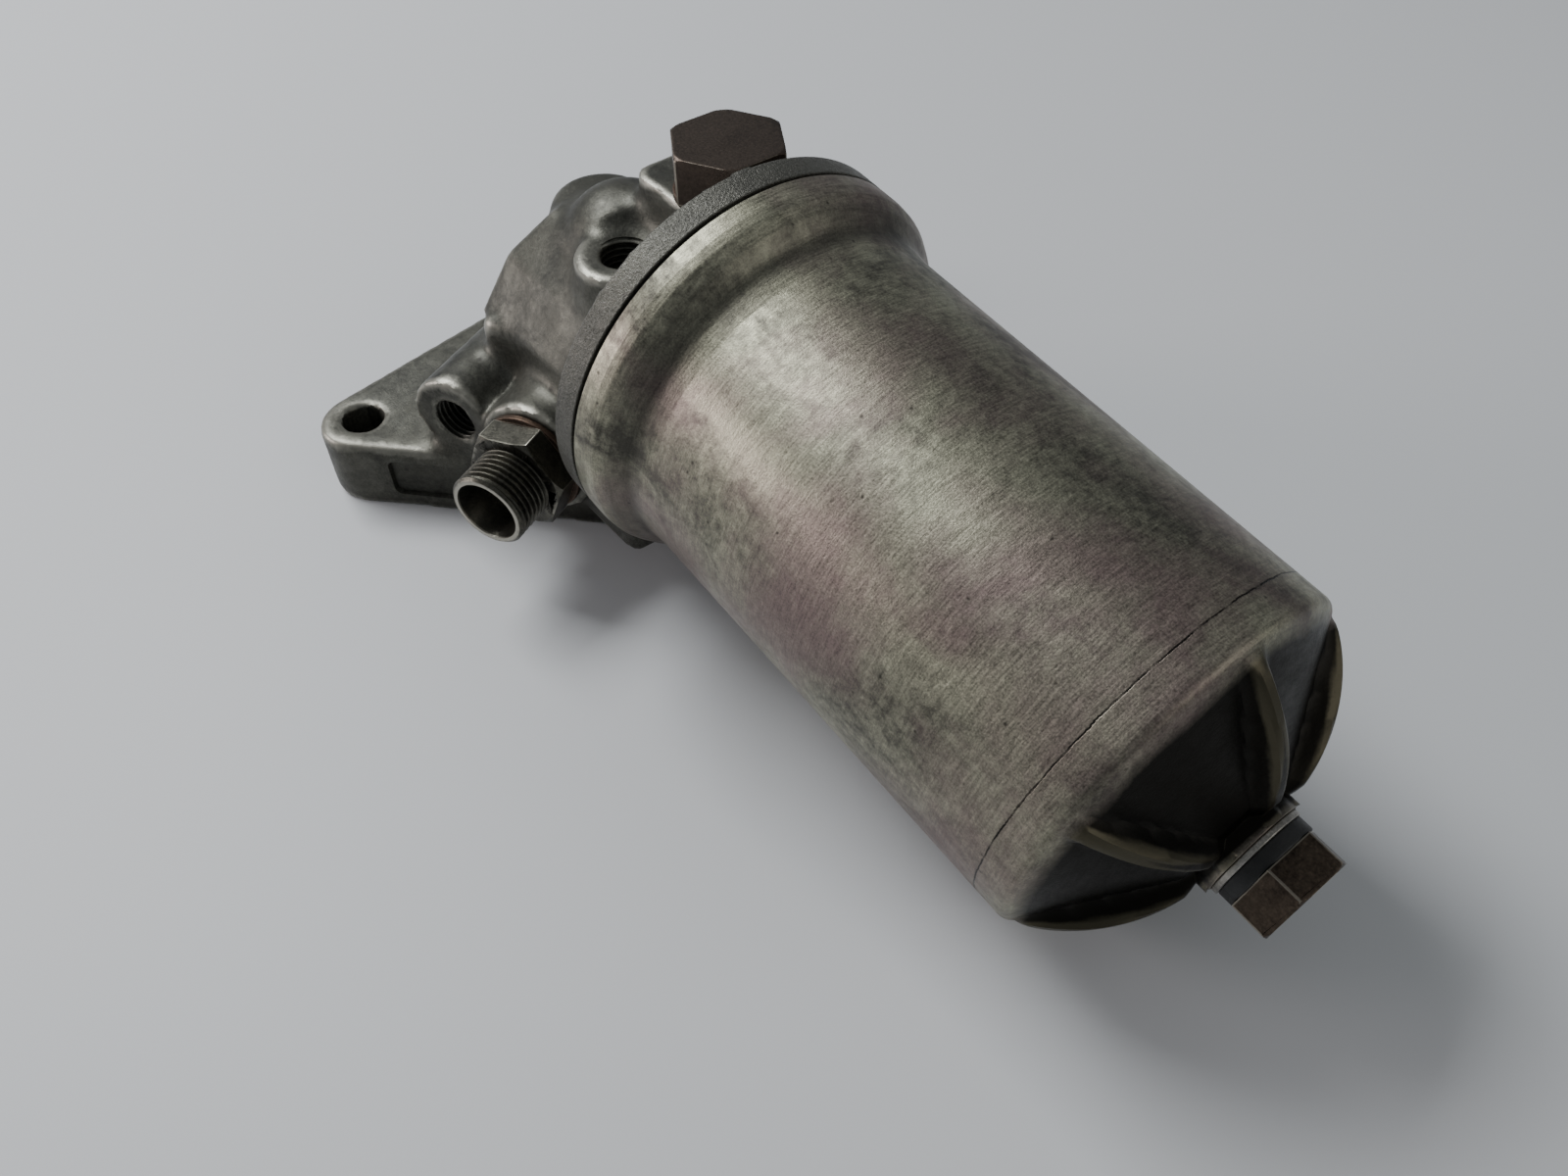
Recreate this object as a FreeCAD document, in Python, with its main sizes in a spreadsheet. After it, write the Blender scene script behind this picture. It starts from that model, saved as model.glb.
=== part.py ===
"""Cartridge fuel filter: cast head with a two-hole mounting flange, and a bowl held by one long bolt.

Row frame: the mounting face lies on z = 0, the origin is midway between the two mounting holes, and +X
points from the head towards the bowl's far end. The canister's axis lies in the XZ plane and slopes
down by the tilt angle. Canister pieces are modelled on their own axis, where z is the distance from the
seam between head and bowl, growing towards the bowl's far end, and +x points down.
"""
import FreeCAD, Part
import math
import os
import Sketcher

Vector = FreeCAD.Vector
Rotation = FreeCAD.Rotation
Placement = FreeCAD.Placement
UP = Vector(0, 0, 1)

DIMENSIONS = {
    # where the canister sits
    "seamX": 80.5, "seamZ": 54.0, "tilt": 8.0,
    # bowl, outside
    "mouthFace": 0.4, "collarRadius": 43.4, "collarEnd": 5.0, "neckRadius": 38.0, "neckEnd": 15.5,
    "coneStart": 116.0, "coneEnd": 130.4, "bossRadius": 9.8, "coneFoot": 12.0, "bossEnd": 134.4,
    "cornerRound": 2.5,
    # bowl, inside
    "boreRadius": 34.6, "mouthBore": 35.0, "mouthDepth": 6.0, "floorStart": 112.5, "floorRadius": 15.0,
    "floorEnd": 122.0, "boltHole": 5.2,
    # radial ribs on the bowl's cone
    "ribWidth": 5.0, "ribInner": 8.6, "ribOuter": 35.6, "ribFoot": 117.2, "ribCrown": 4.4,
    "ribSunk": 2.2,
    # seal between head and bowl
    "sealInner": 36.0, "sealOuter": 42.7,
    # centre bolt and what is on it
    "shankRadius": 4.6, "boltThread": 4.95, "boltTip": 15.0, "threadLength": 14.0, "boltFlats": 17.0,
    "tipChamfer": 0.8, "boltHeadStart": 138.5, "boltHeadHeight": 7.0, "washerFace": 135.6,
    "washerRadius": 9.4, "boltSealRadius": 9.0, "clipStart": 80.0, "clipThick": 1.2, "clipRadius": 6.4,
    "grooveRadius": 3.9, "clipBore": 3.95, "boltTurn": 38.0,
    # filter element
    "elementTop": 4.0, "elementEnd": 96.0, "capThick": 1.2, "capRadius": 31.5, "capSkirt": 4.0,
    "sleeveThick": 0.5, "mediaSleeve": 0.35, "mediaOuter": 30.6, "mediaInner": 14.0, "mediaBore": 11.2,
    "pleats": 36.0, "pleatGap": 0.05,
    "tubeInner": 10.0, "tubeOuter": 10.8, "tubeHole": 1.8, "tubeHoleStep": 12.0, "upperHole": 9.4,
    "lowerHole": 8.9,
    "grommetBore": 8.45, "grommetTop": 1.6, "grommetLip": 13.0, "lowerGrommetBore": 4.7,
    "lowerGrommetRadius": 11.5, "lowerGrommetEnd": 100.2, "seatRadius": 14.5, "seatHole": 5.3,
    "seatEnd": 101.6, "seatSkirt": 104.0,
    # element spring
    "springRadius": 11.6, "springWire": 1.1, "springTurns": 4.0, "springGap": 0.1, "coilSteps": 20.0,
    # nipple in the middle of the head
    "nippleRadius": 9.0, "nippleBore": 6.2, "nippleThread": 5.0, "nippleTop": 18.0, "nippleStep": 10.0,
    "spigotRadius": 8.4, "spigotEnd": 9.0, "nippleCollar": 12.0, "collarBottom": 1.4,
    "nippleDrill": 1.5, "nippleDrillLevel": 7.5,
    # head: disc that closes the bowl
    "discTop": 6.9, "discFoot": 38.0, "coneRadius": 25.0, "coneTop": 17.0, "chamberRadius": 30.0,
    "chamberTop": 5.0, "locatorRadius": 34.3, "locatorEnd": 3.0, "hubRadius": 15.0, "hubEnd": 44.0,
    # mounting flange
    "flangeThick": 18.5, "flangeHoleY": 58.4, "flangeHole": 4.9, "earRadius": 10.5, "backX": 8.0,
    "backRadius": 28.0, "frontX": 46.0, "frontRadius": 22.0, "flangeRound": 1.5,
    # block between flange and hub
    "blockFoot": 8.0, "blockTop": 48.0, "shoulderFoot": 46.0, "shoulderMiddle": 58.0,
    "spineTop": 67.0, "blockRound": 3.0,
    # long boss on top, with its low round end over the flange
    "knobX": 22.5, "knobY": 2.5, "knobRadius": 12.0, "knobFarX": 38.0, "knobFarY": 9.0,
    "knobFarRadius": 11.0, "knobTop": 66.0, "knobRound": 4.5,
    # plug and the valve under it
    "plugX": 61.5, "plugY": 10.6, "padTop": 81.0, "padLeft": 41.0, "padRight": 76.0, "padFront": 0.5,
    "padBack": 22.5, "padFoot": 40.0, "padCorner": 5.0, "padRoundTo": 60.0,
    "plugFlats": 22.0, "plugTurn": 28.0, "plugHeight": 10.0, "plugWasher": 1.5, "plugWasherRadius": 11.6,
    "plugShank": 7.95, "plugBore": 8.0, "plugLength": 13.0, "plugHollow": 4.7, "hollowTop": 80.0,
    "plugClearance": 13.4, "plugBoreFloor": 68.0, "valveBore": 6.5, "valveFloor": 65.0, "seatTop": 67.5,
    "seatThroat": 3.0, "pistonRadius": 4.62, "pistonRecess": 4.2, "pistonTop": 73.0,
    "valveSpringRadius": 3.5, "valveWire": 0.45, "valveTurns": 6.0,
    # ports; both side ports point the same way
    "portAngle": -65.0, "portX": 26.7, "portY": -45.9, "portZ": 27.9, "portBore": 5.1,
    "portBossRadius": 10.9, "portBossLength": 26.0, "portDepth": 13.0, "portBend": 21.0,
    "topPortX": 51.0, "topPortY": -9.4, "topPortZ": 70.0, "topBossRadius": 11.0, "topBossFoot": 30.0,
    "spotRadius": 9.4, "passage": 3.0,
    # outlet union
    "zero": 0.0,
    "unionX": 48.9, "unionY": -37.8, "unionZ": 27.0, "unionBossRadius": 14.2, "unionBossLength": 30.0,
    "unionBore": 8.0,
    "unionShank": 7.95, "unionDepth": 13.0, "unionLength": 12.0, "unionWasher": 1.5,
    "unionWasherRadius": 12.4, "unionFlats": 22.0, "unionTurn": 38.0, "unionHexEnd": 8.0,
    "unionEnd": 18.6,
    "unionThread": 9.0, "unionRim": 8.4, "unionMouth": 7.3, "unionThroat": 4.5, "coneDepth": 9.0,
}

# corners (x, y) of the block's straight lower part, and of its domed shoulder at each level
BLOCK_OUTLINE = [(22, -33), (33, -28.5), (72, -28.5), (72, 30), (22, 33), (9, 9), (7, 0), (9, -9)]
SHOULDER_OUTLINES = {
    "shoulderFoot": [(18, -30), (73, -28), (73, 28), (18, 30), (10, 0)],
    "shoulderMiddle": [(18.5, -21.5), (76, -22), (76, 22), (18.5, 21.5), (13, 0)],
    "spineTop": [(23, -10.5), (76, -12), (76, 12), (23, 10.5), (20, 0)],
}

doc = FreeCAD.newDocument("FuelFilter")
sheet = doc.addObject("Spreadsheet::Sheet", "Sizes")
for row, (alias, size) in enumerate(DIMENSIONS.items(), start=1):
    sheet.set(f"A{row}", alias)
    sheet.set(f"B{row}", str(size))
    sheet.setAlias(f"B{row}", alias)
doc.recompute()


def value(terms):
    """The number that a sum of sheet names such as "neckRadius - shankRadius" comes to."""
    total = 0.0
    sign = 1
    for word in terms.split():
        if word in ("+", "-"):
            sign = 1 if word == "+" else -1
            continue
        total += sign * float(sheet.get(word))
    return total


def bound(terms):
    """The same sum written as a FreeCAD expression on the sheet."""
    return " ".join(word if word in ("+", "-") else "Sizes." + word for word in terms.split())


CANISTER = Placement(Vector(value("seamX"), 0, value("seamZ")),
                     Rotation(Vector(0, 1, 0), 90 + value("tilt")))
PORT_TURN = Rotation(UP, value("portAngle")) * Rotation(Vector(0, 1, 0), 90)
UNION = Placement(Vector(value("unionX"), value("unionY"), value("unionZ")), PORT_TURN)
PORT = Placement(Vector(value("portX"), value("portY"), value("portZ")), PORT_TURN)
TOP_PORT = Placement(Vector(value("topPortX"), value("topPortY"), value("topPortZ")), Rotation())
PLUG = Placement(Vector(value("plugX"), value("plugY"), 0), Rotation())
HERE = Placement()

parts = []


def keep(thing, name, placement=HERE):
    """Give a finished sub-part its name and its place."""
    thing.Label = name
    thing.Placement = placement
    parts.append(thing)
    return thing


def outlineSketch(body, name, outline):
    """A closed outline of straight lines in the body's XZ plane, each corner tied to the sheet.

    A corner is a pair of sums, (radius, height), and a radius of None lies on the axis.
    """
    sketch = body.newObject("Sketcher::SketchObject", name)
    plane = next(item for item in body.Origin.OriginFeatures if item.Role == "XZ_Plane")
    sketch.AttachmentSupport = [(plane, "")]
    sketch.MapMode = "FlatFace"
    corners = [Vector(value(across) if across else 0, value(along), 0) for across, along in outline]
    count = len(corners)
    for index in range(count):
        sketch.addGeometry(Part.LineSegment(corners[index], corners[(index + 1) % count]), False)
    for index in range(count):
        sketch.addConstraint(Sketcher.Constraint("Coincident", index, 2, (index + 1) % count, 1))
    for index, (across, along) in enumerate(outline):
        if across is None:
            sketch.addConstraint(Sketcher.Constraint("PointOnObject", index, 1, -2))
        else:
            link = sketch.addConstraint(
                Sketcher.Constraint("DistanceX", -1, 1, index, 1, corners[index].x))
            sketch.setExpression(f"Constraints[{link}]", bound(across))
        link = sketch.addConstraint(Sketcher.Constraint("DistanceY", -1, 1, index, 1, corners[index].y))
        sketch.setExpression(f"Constraints[{link}]", bound(along))
    return sketch


def turned(name, outline):
    """A body turned about its z axis from an outline of (radius, height) corners."""
    body = doc.addObject("PartDesign::Body", name)
    sketch = outlineSketch(body, name + "Outline", outline)
    revolution = body.newObject("PartDesign::Revolution", name + "Turn")
    revolution.Profile = sketch
    revolution.ReferenceAxis = (sketch, ["V_Axis"])
    revolution.Angle = 360
    body.Tip = revolution
    return body


def ring(name, inner, outer, start, end):
    return turned(name, [(inner, start), (outer, start), (outer, end), (inner, end)])


def roundedEdges(body, radius, places):
    """Fillet the circular edges of a turned body that pass near the given (radius, height) places."""
    doc.recompute()
    base = body.Tip
    names = []
    for number, edge in enumerate(base.Shape.Edges, start=1):
        for across, along in places:
            middle = edge.valueAt((edge.FirstParameter + edge.LastParameter) / 2)
            off = max(abs(math.hypot(middle.x, middle.y) - value(across)), abs(middle.z - value(along)))
            if off < 0.01:
                names.append(f"Edge{number}")
    fillet = body.newObject("PartDesign::Fillet", body.Name + "Round")
    fillet.Base = (base, names)
    fillet.setExpression("Radius", bound(radius))
    body.Tip = fillet
    return fillet


def hexagon(name, flats, start, height, turn):
    """A hexagon head, turned as it is tightened, whose outer end is cut back by a 30 degree cone."""
    prism = doc.addObject("Part::Prism", name + "Prism")
    prism.Polygon = 6
    prism.Placement = Placement(Vector(), Rotation(UP, value(turn)))
    prism.setExpression("Circumradius", f"{bound(flats)} / sqrt(3)")
    prism.setExpression("Height", bound(height))
    prism.setExpression(".Placement.Base.z", bound(start))
    cone = doc.addObject("Part::Cone", name + "Chamfer")
    cone.setExpression("Radius1", f"{bound(flats)} * 0.475 + ({bound(height)}) * sqrt(3)")
    cone.setExpression("Radius2", f"{bound(flats)} * 0.475")
    cone.setExpression("Height", bound(height))
    cone.setExpression(".Placement.Base.z", bound(start))
    head = doc.addObject("Part::Common", name + "Hexagon")
    head.Base = prism
    head.Tool = cone
    return head


def joined(name, pieces):
    fuse = doc.addObject("Part::MultiFuse", name + "Joined")
    fuse.Shapes = pieces
    fuse.Refine = True
    return fuse


def less(name, base, tool):
    cut = doc.addObject("Part::Cut", name + "Cut")
    cut.Base = base
    cut.Tool = tool
    cut.Refine = True
    return cut


def coil(node, radius, wire, start, end, turns, placement):
    """A round-wire compression spring between two flat faces, lofted through short straight steps."""
    thick, gap, steps = value(wire), value("springGap"), int(value("coilSteps"))
    foot = value(start) + thick + gap
    rise = value(end) - thick - gap - foot
    count = int(value(turns)) * steps
    sections = []
    for index in range(count + 1):
        section = Part.Wire([Part.Circle(Vector(value(radius), 0, 0), Vector(0, 1, 0), thick).toShape()])
        section.Placement = Placement(UP * (foot + rise * index / count), Rotation(UP, 360 * index / steps))
        sections.append(section)
    spring = doc.addObject("Part::Feature", "Coil")
    spring.Shape = Part.makeLoft(sections, True, True)
    keep(spring, node, placement)


def makeBowl():
    shell = turned("BowlShell", [
        ("mouthBore", "mouthFace"), ("collarRadius", "mouthFace"), ("collarRadius", "collarEnd"),
        ("neckRadius", "neckEnd"), ("neckRadius", "coneStart"), ("coneFoot", "coneEnd"),
        ("bossRadius", "coneEnd"), ("bossRadius", "bossEnd"), ("boltHole", "bossEnd"),
        ("boltHole", "floorEnd"), ("floorRadius", "floorEnd"), ("boreRadius", "floorStart"),
        ("boreRadius", "mouthDepth"), ("mouthBore", "mouthDepth"),
    ])
    roundedEdges(shell, "cornerRound", [("neckRadius", "coneStart"), ("collarRadius", "collarEnd")])
    rib = doc.addObject("Part::Feature", "BowlRibs")
    rib.Shape = ribShape()
    keep(joined("Bowl", [shell, rib]), "bowl", CANISTER)


def ribShape():
    """Six bowed radial ribs, straight underneath and arched outside, joined into one shape."""
    outer = Vector(value("ribOuter"), 0, value("ribFoot"))
    inner = Vector(value("ribInner"), 0, value("bossEnd - ribSunk"))
    along = (inner - outer).normalize()
    out = Vector(-along.z, 0, along.x)
    if out.z < 0:
        out = out * -1
    crest = (inner + outer) * 0.5 + out * value("ribCrown")
    inside = Vector(value("ribInner"), 0, value("floorEnd") + 3)
    root = Vector(value("ribOuter") - 4, 0, value("coneStart") - 1)
    edges = [Part.Arc(outer, crest, inner).toShape(), Part.makeLine(inner, inside),
             Part.makeLine(inside, root), Part.makeLine(root, outer)]
    half = value("ribWidth") / 2
    plate = Part.Face(Part.Wire(edges)).extrude(Vector(0, value("ribWidth"), 0))
    plate.translate(Vector(0, -half, 0))
    arched = [edge for edge in plate.Edges if edge.Curve.TypeId == "Part::GeomCircle"]
    plate = plate.makeFillet(half * 0.8, arched)
    ribs = []
    for index in range(6):
        turn = plate.copy()
        turn.rotate(Vector(), UP, 60 * index)
        ribs.append(turn)
    return ribs[0].fuse(ribs[1:])


def makeCentreBolt():
    shank = turned("BoltShank", [
        (None, "- boltTip"), ("boltThread - tipChamfer", "- boltTip"),
        ("boltThread", "tipChamfer - boltTip"), ("boltThread", "threadLength - boltTip"),
        ("shankRadius", "threadLength - boltTip"), ("shankRadius", "clipStart"),
        ("grooveRadius", "clipStart"), ("grooveRadius", "clipStart + clipThick"),
        ("shankRadius", "clipStart + clipThick"), ("shankRadius", "boltHeadStart"), (None, "boltHeadStart"),
    ])
    head = hexagon("Bolt", "boltFlats", "boltHeadStart", "boltHeadHeight", "boltTurn")
    keep(joined("CentreBolt", [shank, head]), "centre_bolt", CANISTER)


def makeBoltFittings():
    keep(ring("BoltWasher", "boltHole", "washerRadius", "bossEnd", "washerFace"), "bolt_washer", CANISTER)
    keep(ring("BoltSeal", "boltHole", "boltSealRadius", "washerFace", "boltHeadStart"),
         "bolt_seal", CANISTER)
    whole = ring("ClipWhole", "clipBore", "clipRadius", "clipStart", "clipStart + clipThick")
    slot = doc.addObject("Part::Box", "ClipSlot")
    slot.setExpression("Length", "Sizes.clipRadius * 2")
    slot.setExpression("Width", "Sizes.clipBore")
    slot.setExpression("Height", "Sizes.clipThick * 3")
    slot.setExpression(".Placement.Base.y", "-Sizes.clipBore / 2")
    slot.setExpression(".Placement.Base.z", "Sizes.clipStart - Sizes.clipThick")
    keep(less("Clip", whole, slot), "bolt_clip", CANISTER)


def makeElement():
    keep(turned("UpperGrommet", [
        ("grommetBore", "grommetTop"), ("grommetLip", "grommetTop"), ("grommetLip", "elementTop"),
        ("upperHole", "elementTop"), ("upperHole", "elementTop + capThick"),
        ("tubeInner", "elementTop + capThick"), ("tubeInner", "elementTop + capThick + capThick"),
        ("grommetBore", "elementTop + capThick + capThick"),
    ]), "upper_grommet", CANISTER)
    keep(turned("UpperCap", [
        ("upperHole", "elementTop"), ("capRadius", "elementTop"), ("capRadius", "elementTop + capSkirt"),
        ("capRadius - sleeveThick", "elementTop + capSkirt"),
        ("capRadius - sleeveThick", "elementTop + capThick"), ("upperHole", "elementTop + capThick"),
    ]), "upper_end_cap", CANISTER)
    keep(turned("LowerCap", [
        ("lowerHole", "elementEnd"), ("capRadius - sleeveThick", "elementEnd"),
        ("capRadius - sleeveThick", "elementEnd - capSkirt"), ("capRadius", "elementEnd - capSkirt"),
        ("capRadius", "elementEnd + capThick"), ("lowerHole", "elementEnd + capThick"),
    ]), "lower_end_cap", CANISTER)
    keep(ring("Sleeve", "mediaOuter", "mediaOuter + mediaSleeve", "elementTop + capThick", "elementEnd"),
         "element_sleeve", CANISTER)
    makeMedia()
    makeCentreTube()
    keep(ring("LowerGrommet", "lowerGrommetBore", "lowerGrommetRadius", "elementEnd + capThick",
              "lowerGrommetEnd"), "lower_grommet", CANISTER)
    keep(turned("SpringSeat", [
        ("seatHole", "lowerGrommetEnd"), ("seatRadius", "lowerGrommetEnd"), ("seatRadius", "seatSkirt"),
        ("seatRadius - capThick", "seatSkirt"), ("seatRadius - capThick", "seatEnd"),
        ("seatHole", "seatEnd"),
    ]), "spring_seat", CANISTER)
    coil("element_spring", "springRadius", "springWire", "seatEnd", "floorEnd", "springTurns", CANISTER)


def makeMedia():
    """A pleated paper ring: a star outline round a plain bore."""
    count = int(value("pleats"))
    start = value("elementTop + capThick")
    points = []
    for index in range(2 * count):
        radius = value("mediaOuter - pleatGap") if index % 2 == 0 else value("mediaInner")
        angle = math.pi * index / count
        points.append(Vector(radius * math.cos(angle), radius * math.sin(angle), start))
    star = Part.Face(Part.makePolygon(points + points[:1])).extrude(UP * (value("elementEnd") - start))
    bore = Part.makeCylinder(value("mediaBore"), value("elementEnd"), Vector())
    media = doc.addObject("Part::Feature", "PleatedMedia")
    media.Shape = star.cut(bore)
    keep(media, "element_media", CANISTER)


def makeCentreTube():
    tube = ring("TubeBlank", "tubeInner", "tubeOuter", "elementTop + capThick", "elementEnd")
    drill = doc.addObject("Part::Feature", "TubeHoles")
    holes = []
    for level in range(7):
        for spoke in range(4):
            height = value("elementTop") + value("tubeHoleStep") * (level + 1)
            hole = Part.makeCylinder(value("tubeHole"), 3 * value("tubeOuter"),
                                     Vector(-1.5 * value("tubeOuter"), 0, height), Vector(1, 0, 0))
            hole.rotate(Vector(), UP, 45 * spoke + 22.5 * (level % 2))
            holes.append(hole)
    drill.Shape = Part.makeCompound(holes)
    keep(less("CentreTube", tube, drill), "centre_tube", CANISTER)


def makeNipple():
    body = turned("NippleBody", [
        ("nippleBore", "spigotEnd"), ("spigotRadius", "spigotEnd"), ("spigotRadius", "- collarBottom"),
        ("nippleCollar", "- collarBottom"), ("nippleCollar", "- chamberTop"),
        ("nippleRadius", "- chamberTop"), ("nippleRadius", "- nippleTop"),
        ("nippleThread", "- nippleTop"), ("nippleThread", "- nippleStep"), ("nippleBore", "- nippleStep"),
    ])
    holes = doc.addObject("Part::Feature", "NippleHoles")
    reach, level = value("nippleCollar"), -value("nippleDrillLevel")
    across = [Part.makeCylinder(value("nippleDrill"), 2 * reach, Vector(-reach, 0, level), Vector(1, 0, 0))]
    across.append(across[0].copy())
    across[1].rotate(Vector(), UP, 90)
    holes.Shape = across[0].fuse(across[1])
    keep(less("Nipple", body, holes), "spigot_nipple", CANISTER)


def makePlugAndValve():
    shank = turned("PlugShank", [
        (None, "hollowTop"), ("plugHollow", "hollowTop"),
        ("plugHollow", "padTop + plugWasher - plugLength"),
        ("plugShank", "padTop + plugWasher - plugLength"), ("plugShank", "padTop + plugWasher"),
        (None, "padTop + plugWasher"),
    ])
    head = hexagon("Plug", "plugFlats", "padTop + plugWasher", "plugHeight", "plugTurn")
    keep(joined("TopPlug", [shank, head]), "top_plug", PLUG)
    keep(ring("PlugWasher", "plugBore", "plugWasherRadius", "padTop", "padTop + plugWasher"),
         "plug_washer", PLUG)
    keep(ring("ValveSeat", "seatThroat", "valveBore", "valveFloor", "seatTop"), "valve_seat", PLUG)
    keep(turned("ValvePiston", [
        (None, "seatTop"), ("seatThroat", "seatTop"), ("pistonRadius", "seatTop + seatThroat"),
        ("pistonRadius", "pistonTop"), ("pistonRecess", "pistonTop"),
        ("pistonRecess", "pistonTop - seatThroat"),
        (None, "pistonTop - seatThroat"),
    ]), "valve_piston", PLUG)
    coil("valve_spring", "valveSpringRadius", "valveWire", "pistonTop - seatThroat", "hollowTop",
         "valveTurns", PLUG)


def makeUnion():
    tube = turned("UnionTube", [
        ("unionThroat", "- unionLength"), ("unionShank", "- unionLength"), ("unionShank", "unionWasher"),
        ("unionThread", "unionWasher"), ("unionThread", "unionEnd - tipChamfer"),
        ("unionRim", "unionEnd"), ("unionMouth", "unionEnd"), ("unionThroat", "unionEnd - coneDepth"),
    ])
    head = hexagon("Union", "unionFlats", "unionWasher", "unionHexEnd - unionWasher", "unionTurn")
    bore = doc.addObject("Part::Cylinder", "UnionHexBore")
    bore.setExpression("Radius", "Sizes.unionThroat + Sizes.unionWasher")
    bore.setExpression("Height", "Sizes.unionEnd")
    keep(joined("Union", [tube, less("UnionHex", head, bore)]), "outlet_union", UNION)
    keep(ring("UnionWasher", "unionBore", "unionWasherRadius", "zero", "unionWasher"),
         "union_washer", UNION)


def tangentOutline(circles, height):
    """A face bounded by arcs of the circles, taken in order, and the lines that touch them outside."""
    touches = []
    for index, (x1, y1, r1) in enumerate(circles):
        x2, y2, r2 = circles[(index + 1) % len(circles)]
        reach = math.hypot(x2 - x1, y2 - y1)
        heading = math.atan2(y2 - y1, x2 - x1)
        normal = heading - math.acos((r1 - r2) / reach)
        step = Vector(math.cos(normal), math.sin(normal), 0)
        touches.append((Vector(x1, y1, height) + step * r1, Vector(x2, y2, height) + step * r2, normal))
    edges = []
    for index, (start, end, normal) in enumerate(touches):
        edges.append(Part.makeLine(start, end))
        x, y, radius = circles[(index + 1) % len(circles)]
        following, _, nextNormal = touches[(index + 1) % len(circles)]
        middle = normal + ((nextNormal - normal) % (2 * math.pi)) / 2
        crown = Vector(x, y, height) + Vector(math.cos(middle), math.sin(middle), 0) * radius
        edges.append(Part.Arc(end, crown, following).toShape())
    return Part.Face(Part.Wire(edges))


def flangeShape():
    hole = value("flangeHoleY")
    ear = value("earRadius")
    face = tangentOutline([
        (0, -hole, ear), (value("frontX"), 0, value("frontRadius")),
        (0, hole, ear), (value("backX"), 0, value("backRadius")),
    ], 0)
    plate = face.extrude(UP * value("flangeThick"))
    top = [edge for edge in plate.Edges if abs(edge.BoundBox.ZMin - value("flangeThick")) < 0.01]
    return plate.makeFillet(value("flangeRound"), top)


def polygon(corners, height):
    return Part.makePolygon([Vector(x, y, height) for x, y in corners + corners[:1]])


def blockShape():
    """The block over the flange: a straight-sided lower part and a domed shoulder over it."""
    foot, top = value("blockFoot"), value("blockTop")
    lower = polygon(BLOCK_OUTLINE, foot)
    lower = Part.Face(lower).extrude(UP * (top - foot))
    lower = lower.makeFillet(value("blockRound"), [e for e in lower.Edges if e.BoundBox.ZMax > top - 0.01])
    wires = [polygon(corners, value(level)) for level, corners in SHOULDER_OUTLINES.items()]
    return lower.fuse(Part.makeLoft(wires, True, True))


def hubShape():
    """The tube-like hub along the canister's axis and the disc that closes the bowl."""
    disc = Part.makeCylinder(value("collarRadius"), value("discTop") - value("mouthFace"),
                             Vector(0, 0, -value("discTop")))
    cone = Part.makeCone(value("coneRadius"), value("discFoot"), value("coneTop") - value("discTop"),
                         Vector(0, 0, -value("coneTop")))
    locator = Part.makeCylinder(value("locatorRadius"), value("locatorEnd") + value("discTop"),
                                Vector(0, 0, -value("discTop")))
    hub = Part.makeCylinder(value("hubRadius"), value("hubEnd"), Vector(0, 0, -value("hubEnd")))
    hub = hub.fuse(Part.makeSphere(value("hubRadius"), Vector(0, 0, -value("hubEnd"))))
    shape = disc.fuse([cone, locator, hub])
    shape.Placement = CANISTER
    return shape


def bossShapes():
    knob = tangentOutline([
        (value("knobX"), value("knobY"), value("knobRadius")),
        (value("knobFarX"), value("knobFarY"), value("knobFarRadius")),
    ], value("blockFoot")).extrude(UP * (value("knobTop") - value("blockFoot")))
    rim = [edge for edge in knob.Edges if edge.BoundBox.ZMin > value("knobTop") - 0.01]
    knob = knob.makeFillet(value("knobRound"), rim)
    pad = Part.makeBox(value("padRight - padLeft"), value("padBack + padFront"), value("padTop - padFoot"),
                       Vector(value("padLeft"), -value("padFront"), value("padFoot")))
    corners = [edge for edge in pad.Edges
               if edge.BoundBox.ZLength > 10 and edge.BoundBox.XMax < value("padRoundTo")]
    pad = pad.makeFillet(value("padCorner"), corners)
    deep = value("topPortZ - topBossFoot")
    topBoss = Part.makeCylinder(value("topBossRadius"), deep, TOP_PORT.multVec(Vector(0, 0, -deep)))
    deep = value("unionBossLength")
    union = Part.makeCylinder(value("unionBossRadius"), deep, Vector(0, 0, -deep))
    union.Placement = UNION
    deep = value("portBossLength")
    port = Part.makeCylinder(value("portBossRadius"), deep, Vector(0, 0, -deep))
    port.Placement = PORT
    return [knob, pad, topBoss, union, port]


def borehole(radius, depth, placement, ahead=1.0):
    """A drill that starts a little outside the face and goes in along the face's inward normal."""
    drill = Part.makeCylinder(radius, depth + ahead, Vector(0, 0, -depth))
    drill.Placement = placement
    return drill


def between(radius, start, end):
    return Part.makeCylinder(radius, (end - start).Length, start, end - start)


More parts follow.
